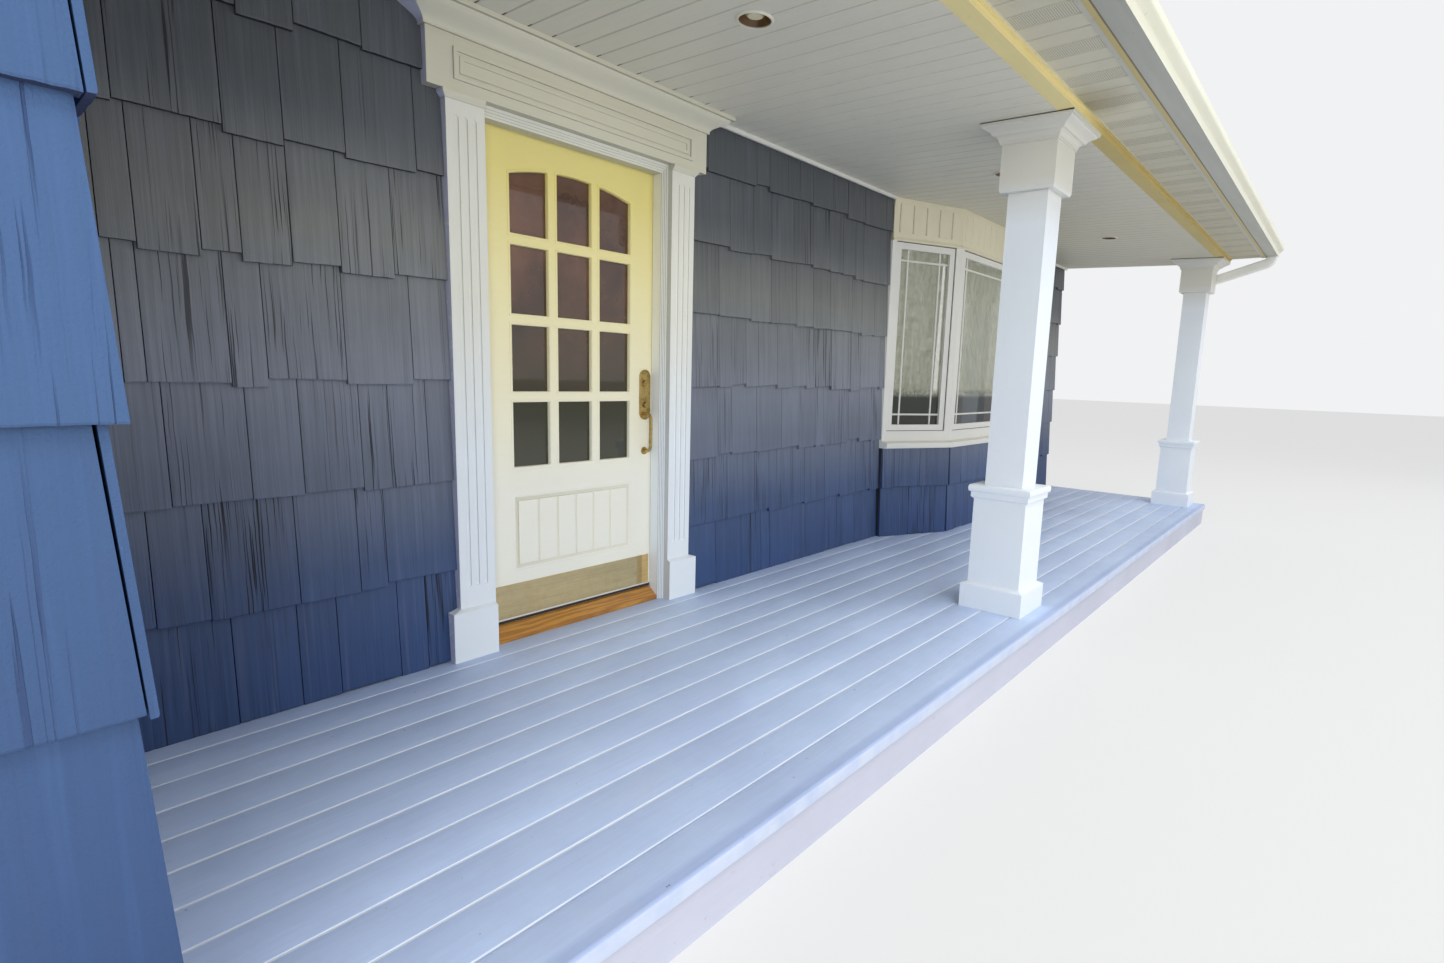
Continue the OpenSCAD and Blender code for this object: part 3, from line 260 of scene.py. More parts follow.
def shingleFinish(name, look):
    f = startFinish(name, 0.62)
    flat, patch, streak = look["flat"], look["patch"], look["streak"]
    shade, groove, shift = boardMarks(f)
    grain = moved(f, f.place, shift, shift, shift)
    sway = times(f, cloudy(f, 9, 2, stretch=(0.4, 0.4, 1), at=grain), look["sway"])
    wavy = moved(f, grain, sway, sway)
    thin = cloudy(f, 190, 1, 0.4, stretch=(1, flat, 0.010), at=wavy)
    cluster = ramp(f, cloudy(f, 15, 1, stretch=(1, flat, 0.12), at=grain), (0.42, 0.0), (0.56, 1.0))
    cracks = times(f, ramp(f, thin, (0.35, 1.0), (0.40, 0.0)), times(f, cluster, groove))
    fine = cloudy(f, 230, 2, 0.6, stretch=(1, flat, 0.012), at=wavy)
    wide = cloudy(f, 62, 2, 0.5, stretch=(1, flat, 0.03), at=grain)
    x, _, z = split(f, f.place)
    height = sums(f, "DIVIDE", z, 2.5)
    # tones by height, from each look; on the slate wall these hold painted light
    f.ground = ramp(f, height, *((level / 2.5, tone) for level, tone in look["tones"]))
    tint(f, ramp(f, cloudy(f, 2.3, 4, 0.6), (0.3, 1 - patch), (0.7, 1 + patch)))
    across = ramp(f, sums(f, "DIVIDE", plus(f, x, 2.0), 4.5), *look["across"])
    middle = ramp(f, height, (0.40, 0.0), (0.50, 1.0), (0.80, 1.0), (0.88, 0.0))
    # each shingle's own tone, with the painted light of "across" at mid height
    shaded(f, plus(f, shade, times(f, across, middle)))
    tint(f, ramp(f, fine, (0.3, 1 - streak * 1.4), (0.7, 1 + streak)))
    tint(f, ramp(f, wide, (0.3, 1 - streak), (0.7, 1 + streak)))
    cover(f, times(f, ramp(f, wide, (0.55, 0.0), (0.75, 0.4)), look["lilac"]), look["glint"])
    cover(f, cracks, look["crack"])
    soil(f, look["bare"], 0.70, 0.76, look["scuff"], 46, 6, 0.7, stretch=(1, 1, 0.5))
    # painted shade: faces that look down, the undersides of the butts, take the butt tone
    cover(f, times(f, below(f, facing(f)[2], -0.5), 0.85), look["butt"])
    relief = plus(f, times(f, fine, 0.6), times(f, cloudy(f, 240, 3, 0.6), look["pebble"]))
    relief = sums(f, "SUBTRACT", relief, times(f, cracks, 1.6))
    return finished(f, relief, 0.0009, ramp(f, wide, (0.2, 0.52), (0.8, 0.72)))


print("helpers ready")


# mesh helpers: a store collects closed shells, and one piece is made of it
def emptyStore():
    return {"points": [], "faces": [], "marks": []}


def addRings(store, rings, mark=(0.0, 0.0, 0.0), loop=False):
    start, size, count = len(store["points"]), len(rings[0]), len(rings)
    for ring in rings:
        store["points"].extend(tuple(p) for p in ring)
    for k in range(count if loop else count - 1):
        a, b = start + k * size, start + (k + 1) % count * size
        for i in range(size):
            j = (i + 1) % size
            store["faces"].append((a + i, a + j, b + j, b + i))
    if not loop:
        store["faces"].append(tuple(start + i for i in reversed(range(size))))
        store["faces"].append(tuple(start + (count - 1) * size + i for i in range(size)))
    store["marks"] += [mark] * (len(store["faces"]) - len(store["marks"]))


def addBlock(store, low, high, ease):
    # block along X with eased long edges
    (x0, y0, z0), (x1, y1, z1) = low, high
    e = min(ease, (y1 - y0) / 3, (z1 - z0) / 3)
    outline = [(y0 + e, z0), (y1 - e, z0), (y1, z0 + e), (y1, z1 - e), (y1 - e, z1), (y0 + e, z1),
               (y0, z1 - e), (y0, z0 + e)]
    addRings(store, [[(x, y, z) for y, z in outline] for x in (x0, x1)])


def addMitred(store, loop, section, place):
    # moulding round a closed outline, from (inset, depth) points, mitred at every corner
    rings = []
    for i, here in enumerate(loop):
        before, after = Vector(loop[i - 1]), Vector(loop[(i + 1) % len(loop)])
        here = Vector(here)
        a, b = (here - before).normalized(), (after - here).normalized()
        inA, inB = Vector((-a.y, a.x)), Vector((-b.y, b.x))
        mitre = (inA + inB) / (1 + inA.dot(inB))
        rings.append([place(here + mitre * inset, depth) for inset, depth in section])
    addRings(store, rings, loop=True)


def makePiece(name, store, f, body="porch", stands=(), smooth=None):
    mesh = bpy.data.meshes.new(name)
    mesh.from_pydata(store["points"], [], store["faces"])
    work = bmesh.new()
    work.from_mesh(mesh)
    bmesh.ops.recalc_face_normals(work, faces=work.faces)
    work.to_mesh(mesh)
    work.free()
    marks = mesh.attributes.new("board", "FLOAT_VECTOR", "FACE")
    marks.data.foreach_set("vector", [c for mark in store["marks"] for c in mark])
    piece = setOut(name, mesh)
    mesh.materials.append(f.material)
    if smooth is not None:
        mesh.polygons.foreach_set("use_smooth", [True] * len(mesh.polygons))
        mesh.set_sharp_from_angle(angle=math.radians(smooth))
    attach(piece, body)
    if stands:
        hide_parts(*stands)
    return piece


def dress(f, *names):
    for name in names:
        slots = nodes[name].data.materials
        slots.clear()
        slots.append(f.material)


# floor, daylight and soft lamps
stageSet = {"floor": (238, 237, 234), "sky": (0.95, 0.955, 0.965, 1), "skyPower": 0.55, "seenPower": 0.93,
            "lift": 0.62, "reach": 60}
lampSet = {  # place, aim, size, power and tone
    "frontSoft": ((1.5, -13.0, 3.6), (1.5, 0, 1.2), (14, 5), 90, (1, 0.985, 0.96)),
    "leftSoft": ((-6.0, -8.0, 3.2), (0.5, -0.4, 1.2), (5, 4), 390, (0.95, 0.98, 1)),
    "rightSoft": ((11.0, -7.0, 4.0), (4.0, -0.8, 1.2), (5, 4), 60, (0.97, 0.985, 1)),
    "highSoft": ((2.0, -6.0, 9.0), (2.0, -0.8, 0.2), (10, 4), 460, (0.92, 0.96, 1)),
}


def makeStage():
    s = stageSet
    r = s["reach"]
    floor = bpy.data.meshes.new("floor")
    floor.from_pydata([(-r, -r, 0), (r, -r, 0), (r, r, 0), (-r, r, 0)], [], [(0, 1, 2, 3)])
    ground = setOut("floor", floor)
    f = startFinish("paleFloor", 0.9, {"Base Color": s["floor"]})
    pale = add(f, "Emission", {0: s["sky"], 1: s["seenPower"]}).outputs[0]
    seen = add(f, "LightPath").outputs["Is Camera Ray"]
    mix = add(f, "MixShader", {0: times(f, seen, s["lift"]), 1: f.shader.outputs[0], 2: pale})
    plug(f, mix.outputs[0], f.tree.nodes["Material Output"].inputs["Surface"])
    floor.materials.append(f.material)
    world = bpy.data.worlds.new("daylight")
    bpy.context.scene.world = world
    world.use_nodes = True
    world.node_tree.nodes.clear()
    w = SimpleNamespace(tree=world.node_tree)
    plain, shown = (add(w, "Background", {0: s["sky"], 1: s[power]}).outputs[0]
                    for power in ("skyPower", "seenPower"))
    rays = add(w, "LightPath").outputs
    mirrored = sums(w, "MAXIMUM", rays["Is Glossy Ray"], rays["Is Transmission Ray"])
    direct = sums(w, "MAXIMUM", rays["Is Camera Ray"], mirrored)
    mix = add(w, "MixShader", {0: direct, 1: plain, 2: shown})
    add(w, "OutputWorld", {0: mix.outputs[0]})
    for name, (place, aim, size, power, tone) in lampSet.items():
        data = bpy.data.lights.new(name, "AREA")
        data.shape = "RECTANGLE"
        data.size, data.size_y = size
        data.energy = power
        data.color = tone
        light = setOut(name, data)
        light.location = place
        light.visible_camera = light.visible_glossy = False
        light.rotation_euler = (Vector(aim) - Vector(place)).to_track_quat("-Z", "Y").to_euler()


makeStage()
print("stage and lamps ready")

# shingles: exposure, depth at a butt and under the next butt
shingleSet = {"seed": 11, "exposure": 0.3536, "butt": 0.032, "lap": 0.014, "gap": 0.0014, "under": 0.030,
              "column": 0.011, "groove": 0.0011, "widths": (0.085, 0.27), "least": 0.02, "cracked": 0.34}

# right edge of each shingle and height of its butt over the course line, in mm, read off the wall
leftOfDoor = {
    6: [(-1640, 4), (-1420, -6), (-1213, 3), (-1067, -14), (-874, 13), (-613, 6)],
    5: [(-1503, 20), (-1264, 29), (-1111, 7), (-938, 27), (-712, 16), (-613, 29)],
    4: [(-1554, 14), (-1478, 27), (-1335, 8), (-1238, 29), (-1106, 9), (-968, 25), (-800, 8), (-613, 24)],
    3: [(-1532, 6), (-1483, 4), (-1287, 4), (-1193, -9), (-968, 17), (-750, 3), (-613, 22)],
}
rightOfDoor = {
    6: [(721, 3), (1094, -5), (1205, 13), (1478, -1), (1604, 9), (1816, 3), (1982, 13), (2180, -4),
        (2451, -3), (2546, 6)],
    5: [(898, 9), (1085, -1), (1240, 12), (1442, 2), (1632, 13), (1812, 8), (1955, 7), (2100, 8), (2193, -6),
        (2500, -6), (2546, 3)],
    4: [(827, 17), (1080, 16), (1255, 8), (1490, 13), (1658, 9), (1842, 9), (2090, 12), (2210, 10),
        (2370, 1), (2546, 6)],
    3: [(840, 3), (937, 3), (1055, 18), (1160, 7), (1330, 14), (1470, 0), (1615, 11), (1708, 1), (1881, 11),
        (2110, -5), (2228, -16), (2478, 8), (2546, 0)],
    2: [(840, -12), (952, 3), (1160, -2), (1390, -2), (1560, 6), (1735, -7), (1818, -5), (2109, -4),
        (2245, 18), (2400, -2), (2546, -6)],
    1: [(928, -6), (1160, -2), (1290, 6), (1520, -8), (1640, 4), (1860, -3), (2040, 9), (2230, -5),
        (2420, 5), (2546, -4)],
}


def addShingle(store, rng, at, a, b, low, high, courseLow, mark, slantA=0.0, slantB=0.0, thick=None,
               tilt=0.0):
    # one shingle: thick at the butt, thin at the top, its face in narrow grooved columns
    s = shingleSet
    columns = max(3, round((b - a) / s["column"]))
    heights = [low, low + 0.003, low + (high - low) * 0.4, low + (high - low) * 0.75, high]

    def depth(z):
        return max(0.006, s["butt"] - (s["butt"] - s["lap"]) * (z - courseLow) / s["exposure"])

    def spot(column, z, out, lift):
        left, right = a - slantA * depth(z), b + slantB * depth(z)
        return at(left + (right - left) * column / columns, out, z + lift)

    rings = []
    for c in range(columns + 1):
        groove = s["groove"] * (0.25 + mark[1]) * rng.random() ** 2
        edge = 0.0012 if c in (0, columns) else 0.0
        ragged = rng.uniform(-0.0007, 0.0007)
        lean = tilt * (c / columns - 0.5)
        ring = []
        for k, z in enumerate(heights):
            out = depth(z) - groove - edge - (0.0016 if k == 0 else 0.0)
            ring.append(spot(c, z, out, ragged + lean if k < 2 else 0))
        for z in (high, low):
            back = 0.001 if thick is None else max(0.001, depth(z) - thick)
            ring.append(spot(c, z, back, lean if z == low else 0))
        rings.append(ring)
    addRings(store, rings, mark)


def shingleRow(store, rng, at, a, b, course, floorZ, topZ, row=None, slantA=0.0, slantB=0.0, thick=None,
               tilts=(0.0, 0.0)):
    s = shingleSet
    courseLow = deckTop + course * s["exposure"]
    if row is None:
        row, x = [], a
        while x < b - s["widths"][0]:
            x += rng.uniform(*s["widths"])
            row.append((x * 1000, rng.uniform(-8, 9)))
        row = row or [(0, 0)]
        row[-1] = (b * 1000, row[-1][1])
    left = a
    for i, (right, rise) in enumerate(row):
        right = min(b, right / 1000)
        if right - left < s["least"]:
            continue
        low = max(floorZ, courseLow + rise / 1000) if courseLow > floorZ - s["least"] else floorZ
        high = min(topZ, courseLow + s["exposure"] + s["under"])
        cracks = (0.75, 1.0) if rng.random() < s["cracked"] else (0.1, 0.42)
        mark = (rng.uniform(-0.07, 0.07), rng.uniform(*cracks), rng.uniform(0, 9))
        addShingle(store, rng, at, left + s["gap"], right - s["gap"], low, high, courseLow, mark,
                   slantA if i == 0 else 0.0, slantB if i == len(row) - 1 else 0.0, thick if i == 0 else None,
                   rng.uniform(*tilts) if low > floorZ + s["least"] else 0.0)
        left = right


def wallPlace(origin, turn):
    # local (along, depth, z) to the frame: depth runs out of the wall
    c, s = math.cos(turn), math.sin(turn)
    return lambda along, depth, z: (origin[0] + along * c + depth * s, origin[1] + along * s - depth * c, z)


# each face of the bay: its place and its length
bayTurn = math.atan((0.288 - 0.032) / 0.545)
bayFaces = [(wallPlace((2.546, -0.032), -bayTurn), 0.6021), (wallPlace((3.091, -0.288), 0.0), 1.410),
            (wallPlace((4.501, -0.288), bayTurn), 0.6021)]

# "across" changes the tone along the wall, from 2 m left of the door's middle to 2.5 m right of it: painted
# light, lighter towards both ends at mid height
# painted light in the slate tones: bluer and darker near the deck, lightest at mid height, darker again under
# the eave
slateLook = {"tones": ((0.30, (54, 78, 122)), (0.62, (72, 90, 126)), (0.88, (108, 117, 136)),
                       (1.3, (122, 126, 136)), (1.75, (117, 118, 115)), (2.1, (90, 93, 97))),
             "patch": 0.08, "streak": 0.085, "lilac": 0.5, "glint": (126, 126, 140), "crack": (26, 27, 33),
             "bare": (138, 142, 150), "scuff": 0.3, "sway": 0.006, "pebble": 0.35, "flat": 0.03,
             "butt": (24, 25, 29),
             "across": ((0.0, 0.34), (0.24, 0.30), (0.33, 0.0), (0.62, 0.0), (0.95, 0.26))}
blueLook = {"tones": ((0.25, (43, 67, 112)), (1.26, (66, 93, 134))), "patch": 0.06, "streak": 0.022,
            "lilac": 0.25, "glint": (104, 130, 178), "crack": (46, 66, 106), "bare": (150, 166, 196),
            "scuff": 0.35, "sway": 0.006, "pebble": 1.5, "flat": 0.05, "butt": (46, 48, 78),
            "across": ((0.0, 0.0), (1.0, 0.0))}
slate = shingleFinish("slatePaint", slateLook)
wingBlue = shingleFinish("bluePaint", blueLook)


def makeShingles():
    rng = random.Random(shingleSet["seed"])
    store = emptyStore()
    flat = wallPlace((0, 0), 0.0)
    topZ = ceilingAt(-shingleSet["butt"]) - 0.001
    runs = ((deckLeft, -casingHalf, leftOfDoor), (casingHalf, bayLeft, rightOfDoor),
            (bayRight, wallRight, {}))
    for course in range(7):
        for a, b, rows in runs:
            shingleRow(store, rng, flat, a, b, course, deckTop, topZ, rows.get(course),
                       tilts=(0.002, 0.013) if a > 0 else (-0.003, 0.005))
    for at, length in bayFaces:
        for course in range(2):
            shingleRow(store, rng, at, 0.004, length - 0.002, course, deckTop, bayBaseTop)
    makePiece("wallShingles", store, slate, stands=["wall_shingles"])
    # the wing's corner is lapped from the front and from the side by turns
    store = emptyStore()
    front = wallPlace((wingEnd, wingCorner[1]), 0.0)
    side = wallPlace(wingCorner, math.pi / 2)
    length = wingCorner[0] - wingEnd
    floorZ, topZ = 0.060, soffitLow - 0.001
    for course in range(-1, 7):
        laps = course % 2 == 1
        cut = rng.uniform(0.42, 0.5)
        edge = rng.uniform(0.70, 0.76)
        row = [(cut * 1000 * 0.5, rng.uniform(-6, 6)), (cut * 1000, rng.uniform(-6, 6)),
               (edge * 1000, rng.uniform(-4, 6)), (length * 1000, 0)]
        shingleRow(store, rng, front, 0.0, length - (0 if laps else 0.0150), course, floorZ, topZ, row,
                   slantB=1.0 if laps else 1.10)
        shingleRow(store, rng, side, 0.0, wingSide, course, floorZ, topZ, slantA=0.0 if laps else 1.0,
                   thick=None if laps else 0.0105)
    makePiece("wingShingles", store, wingBlue, stands=["wing_shingles"])


makeShingles()
print("shingles laid")

# deck: rounded boards, with a pale strip in each seam as a painted highlight
deckSet = {"pitch": 0.1445, "gap": 0.005, "thick": 0.045, "round": 0.0035, "back": -0.0003, "front": -1.5625,
           "nose": 0.012, "tone": (198, 215, 250), "pale": (234, 240, 250), "seed": 4}


def deckFinish():
    d = deckSet
    f = startFinish("deckPaint", 0.55)
    patches(f, d["tone"], 0.10, cloudy(f, 1.6, 5, 0.6), 0.28, 0.72)
    grain = cloudy(f, 90, 4, 0.6, 0.3, stretch=(0.06, 1, 1))
    tint(f, ramp(f, grain, (0.2, 0.93), (0.8, 1.03)))
    shaded(f, boardMarks(f)[0])
    soil(f, (204, 206, 222), 0.60, 0.76, 0.30, 7, 7, 0.68, stretch=(0.35, 1, 1))
    soil(f, (92, 86, 92), 0.735, 0.765, 0.75, 60, 3, 0.6)
    y = split(f, f.place)[1]
    across = sums(f, "FRACT", sums(f, "DIVIDE", plus(f, y, 10 * d["pitch"] - d["front"]), d["pitch"]))
    # pale along each board's edges: worn paint, and painted highlight where the rounded edge catches light
    wornAndLitEdges = plus(f, band(f, across, -1, 0.016, 0.008), band(f, across, 0.950, 2, 0.008))
    cover(f, times(f, wornAndLitEdges, ramp(f, cloudy(f, 12, 4), (0.3, 0.45), (0.6, 0.85))), d["pale"])
    # painted shade: the front board made darker, against the stronger light that falls on it
    front = ((0.0, (226, 228, 236)), (0.03, (232, 234, 240)), (0.05, 1.0))  # duller at the front board
    tint(f, ramp(f, plus(f, y, -d["front"]), *front))
    relief = plus(f, grain, times(f, cloudy(f, 35, 5), 1.4))
    return finished(f, relief, 0.0006, ramp(f, cloudy(f, 9, 4), (0.3, 0.42), (0.7, 0.62)))


def makeDeck():
    d = deckSet
    rng = random.Random(d["seed"])
    store, deckPaint = emptyStore(), deckFinish()
    low, high, r = deckTop - d["thick"], deckTop, d["round"]

    def board(y0, y1, frontRound):
        outline = [(y0, low), (y1, low)]
        for radius, centreY, start in ((r, y1 - r, 0), (frontRound, y0 + frontRound, 90)):
            for k in range(5):
                angle = math.radians(start + 22.5 * k)
                outline.append((centreY + radius * math.cos(angle), high - radius + radius * math.sin(angle)))
        steps = 60
        rings = []
        for i in range(steps + 1):
            x = deckLeft + (deckRight - deckLeft) * i / steps
            cup = 0.0004 * math.sin(x * 1.7 + y0 * 9)
            rings.append([(x, y, z - (abs(cup) if z > low + 0.01 else 0)) for y, z in outline])
        addRings(store, rings, (rng.uniform(-0.035, 0.035), 0.5, rng.uniform(0, 9)))

    front = d["front"]
    board(front, front + d["pitch"] - d["gap"], d["nose"])
    y = front + d["pitch"]
    while y < d["back"] - 0.02:
        board(y, min(y + d["pitch"] - d["gap"], d["back"]), r)
        y += d["pitch"]
    makePiece("deckPlanks", store, deckPaint, stands=["deck_boards"], smooth=40)
    # painted highlight: a pale strip down in each seam between the boards
    seams = emptyStore()
    y = front + 2 * d["pitch"]
    while y < d["back"] - 0.02:
        addBlock(seams, (deckLeft, y - d["gap"] - 0.0006, low + 0.002),
                 (deckRight - 0.004, y + 0.0006, high - 0.0018), 0.001)
        y += d["pitch"]
    seamHighlight = painted("seamHighlight", d["pale"], 0.06, (0.3, 3, 3), 0.05, 3, 0.0008, 0.6, 0.4,
                        (120, 116, 124), 50)
    makePiece("deckSeams", seams, seamHighlight)


makeDeck()
print("deck laid")

# ceiling panels: grooves from the wall to the beam, holes for the lights
ceilingSet = {"pitch": 0.102, "phase": 0.165, "width": 0.0110, "depth": 0.0034, "soffitDepth": 0.006,
              "thick": 0.012, "lights": (0.055, 2.303, 4.551), "lightY": -0.880, "hole": 0.064,
              "tone": (224, 220, 205), "brownPatch": (1.50, -1.535, 2.53)}


def groovedOutline(x0, x1, depth):
    # section of a panel, as (x, rise): V grooves in the underside, flat on top
    c = ceilingSet
    line = [(x0, 0.0)]
    x, width = x0 + (c["phase"] - x0) % c["pitch"], c["width"]
    while x < x1 - width:
        if x > x0 + width:
            line += [(x - width / 2, 0.0), (x, depth), (x + width / 2, 0.0)]
        x += c["pitch"]
    return line + [(x1, 0.0), (x1, c["thick"]), (x0, c["thick"])]


def ceilingFinish():
    c = ceilingSet
    f = startFinish("vinylPanel", 0.48)
    x, y = split(f, f.place)[:2]
    patches(f, c["tone"], 0.035, cloudy(f, 0.9, 4, 0.55))
    run = cloudy(f, 55, 3, 0.5, stretch=(1, 0.12, 1))
    tint(f, ramp(f, run, (0.25, 0.965), (0.75, 1.01)))
    # partly painted shade: the ceiling greyer towards the right end
    along(f, (0.22, 1.0), (0.62, (236, 234, 228)))
    tint(f, (238, 236, 228), below(f, y, soffitBack))
    soil(f, (150, 142, 122), 0.62, 0.80, 0.22, 11, 6, 0.7)
    # a brownish patch at the soffit's back edge
    away = add(f, "VectorMath", {0: f.place, 1: c["brownPatch"]}, operation="DISTANCE").outputs["Value"]
    brownPatch = ramp(f, plus(f, away, times(f, cloudy(f, 9, 4), 0.16)), (0.10, 0.7), (0.32, 0.0))
    cover(f, times(f, brownPatch, below(f, y, -1.5)), (132, 120, 72))
    # the grooves darker, near black where they end over the door
    fromGroove = plus(f, x, 300 * c["pitch"] - c["phase"])
    part = sums(f, "FRACT", sums(f, "DIVIDE", fromGroove, c["pitch"]))
    seam = plus(f, band(f, part, -1, 0.028, 0.012), band(f, part, 0.972, 2, 0.012))
    cover(f, times(f, seam, 0.35), (128, 124, 112))
    ends = times(f, band(f, y, -0.172, -0.12, 0.003), band(f, x, -0.74, 0.74, 0.002))
    cover(f, times(f, seam, ends, 0.95), (38, 36, 32))
    # vent holes in every third rib of the soffit
    rib = sums(f, "FRACT", sums(f, "DIVIDE", fromGroove, 3 * c["pitch"]))
    middle = times(f, band(f, rib, 0.355, 0.645, 0.01), band(f, y, -1.79, soffitBack, 0.004))
    holes = add(f, "TexVoronoi", {"Vector": f.place, "Scale": 125, "Randomness": 0.0})
    dots = times(f, below(f, holes.outputs["Distance"], 0.34), middle)
    cover(f, times(f, dots, 0.9), (78, 73, 60))
    return finished(f, sums(f, "SUBTRACT", run, dots), 0.0004)


def cutHole(panel, x, y, z, radius):
    work = bmesh.new()
    bmesh.ops.create_cone(work, cap_ends=True, segments=48, radius1=radius, radius2=radius, depth=0.1)
    cutter = bpy.data.meshes.new("lightHole")
    work.to_mesh(cutter)
    work.free()
    tool = setOut("lightHole", cutter)
    tool.location = (x, y, z)
    cut = panel.modifiers.new("lightHole", "BOOLEAN")
    cut.operation = "DIFFERENCE"
    cut.solver = "EXACT"
    cut.object = tool
    bpy.context.view_layer.objects.active = panel
    bpy.context.view_layer.update()
    with bpy.context.temp_override(object=panel, active_object=panel, selected_objects=[panel]):
        bpy.ops.object.modifier_apply(modifier=cut.name)
    bpy.data.objects.remove(tool)


def makeCeiling():
    c = ceilingSet
    vinyl = ceilingFinish()
    store = emptyStore()
    outline = groovedOutline(deckLeft, wallRight, c["depth"])
    depths = (-0.0003, -0.48, -0.98, -1.4517)
    addRings(store, [[(x, y, ceilingAt(y) + rise) for x, rise in outline] for y in depths])
    panel = makePiece("ceilingBoards", store, vinyl, stands=["ceiling_panel"])
    for x in c["lights"]:
        cutHole(panel, x, c["lightY"], ceilingAt(c["lightY"]), c["hole"])
    # the soffit, over the porch and on over the wing
    store = emptyStore()
    for x0, x1, inner in ((deckLeft, wallRight, -1.5333), (-2.8097, deckLeft, -1.5223)):
        outline = groovedOutline(x0, x1, c["soffitDepth"])
        addRings(store, [[(x, y, soffitLow + rise) for x, rise in outline] for y in (-1.7807, inner)])
    makePiece("soffitBoards", store, vinyl, stands=["eave_soffit"])


makeCeiling()
print("ceiling and soffit hung")

# roof: a board and courses of tabs that lap each other
roofSet = {"slope": 18.4, "course": 0.140, "tab": 0.305, "slot": 0.006, "eave": (-1.825, 2.6317),
           "run": 2.0434, "board": 0.015, "butt": 0.024, "left": -2.830, "right": 6.290, "seed": 8}


def roofFinish():
    f = startFinish("roofGrit", 0.9)
    grit = cloudy(f, 420, 2, 0.6)
    f.ground = ramp(f, grit, (0.3, (58, 57, 56)), (0.5, (98, 95, 91)), (0.72, (140, 134, 126)))
    tint(f, ramp(f, cloudy(f, 1.8, 4), (0.3, 0.85), (0.7, 1.1)))
    shaded(f, boardMarks(f)[0])
    return finished(f, grit, 0.0015)


def makeRoof():
    r = roofSet
    rng = random.Random(r["seed"])
    c, s = math.cos(math.radians(r["slope"])), math.sin(math.radians(r["slope"]))
    board, butt = r["board"], r["butt"]
    store = emptyStore()

    def lay(outline, x0, x1, mark):
        # a section of (up the slope, rise off it), drawn out from x0 to x1
        addRings(store, [[(x, r["eave"][0] + up * c - rise * s, r["eave"][1] + up * s + rise * c)
                          for up, rise in outline] for x in (x0, x1)], mark)

    lay([(0, 0), (r["run"], 0), (r["run"], board), (0, board)], r["left"], r["right"], (-0.25, 0, 0))
    k = 0
    while k * r["course"] < r["run"] - 0.01:
        low = k * r["course"]
        high = min(low + r["course"] + 0.02, r["run"])
        x = r["left"] + (0 if k % 2 else -r["tab"] / 2)
        while x < r["right"]:
            x0, x1 = max(r["left"], x + r["slot"] / 2), min(r["right"], x + r["tab"] - r["slot"] / 2)
            if x1 - x0 > 0.01:
                drop = rng.uniform(-0.002, 0.0015) if k else 0
                tab = [(low + drop, board + 0.0005), (high, board + 0.0002), (high, board + 0.0016),
                       (low + drop + 0.004, butt), (low + drop, butt - 0.002)]
                lay(tab, x0, x1, (rng.uniform(-0.16, 0.14), 0, 0))
            x += r["tab"]
        k += 1
    makePiece("roofShingles", store, roofFinish(), stands=["roof"])


makeRoof()
print("roof covered")

# bay: grooved band over the windows, bars on the glass, curtains inside
baySet = {"bandLow": 2.262, "bandThick": 0.045, "groovePitch": 0.1125, "grooveFirst": 0.052,
          "barMargin": 0.073, "barWidth": 0.014, "glassDepth": 0.032, "sashLow": 0.9523, "sashHigh": 2.259,
          "sashFace": 0.0096}
cream = painted("creamPaint", (240, 232, 204), 0.04, (3, 3, 1), 0.02, 2.0, 0.0004, 0.5, 0.2)
# dark paint: painted shade in the sash gaps, and the door sweep's rubber
shadeAndRubber = painted("shadeAndRubber", (52, 47, 40), 0.12, (4, 4, 30), 0.05, 6, 0.0004, 0.75, 0.2,
                     (96, 90, 80), 60)
trimWhite = painted("trimPaint", (238, 236, 228), 0.03, (40, 40, 2), 0.02, 1.6, 0.0004, 0.4, 0.14)


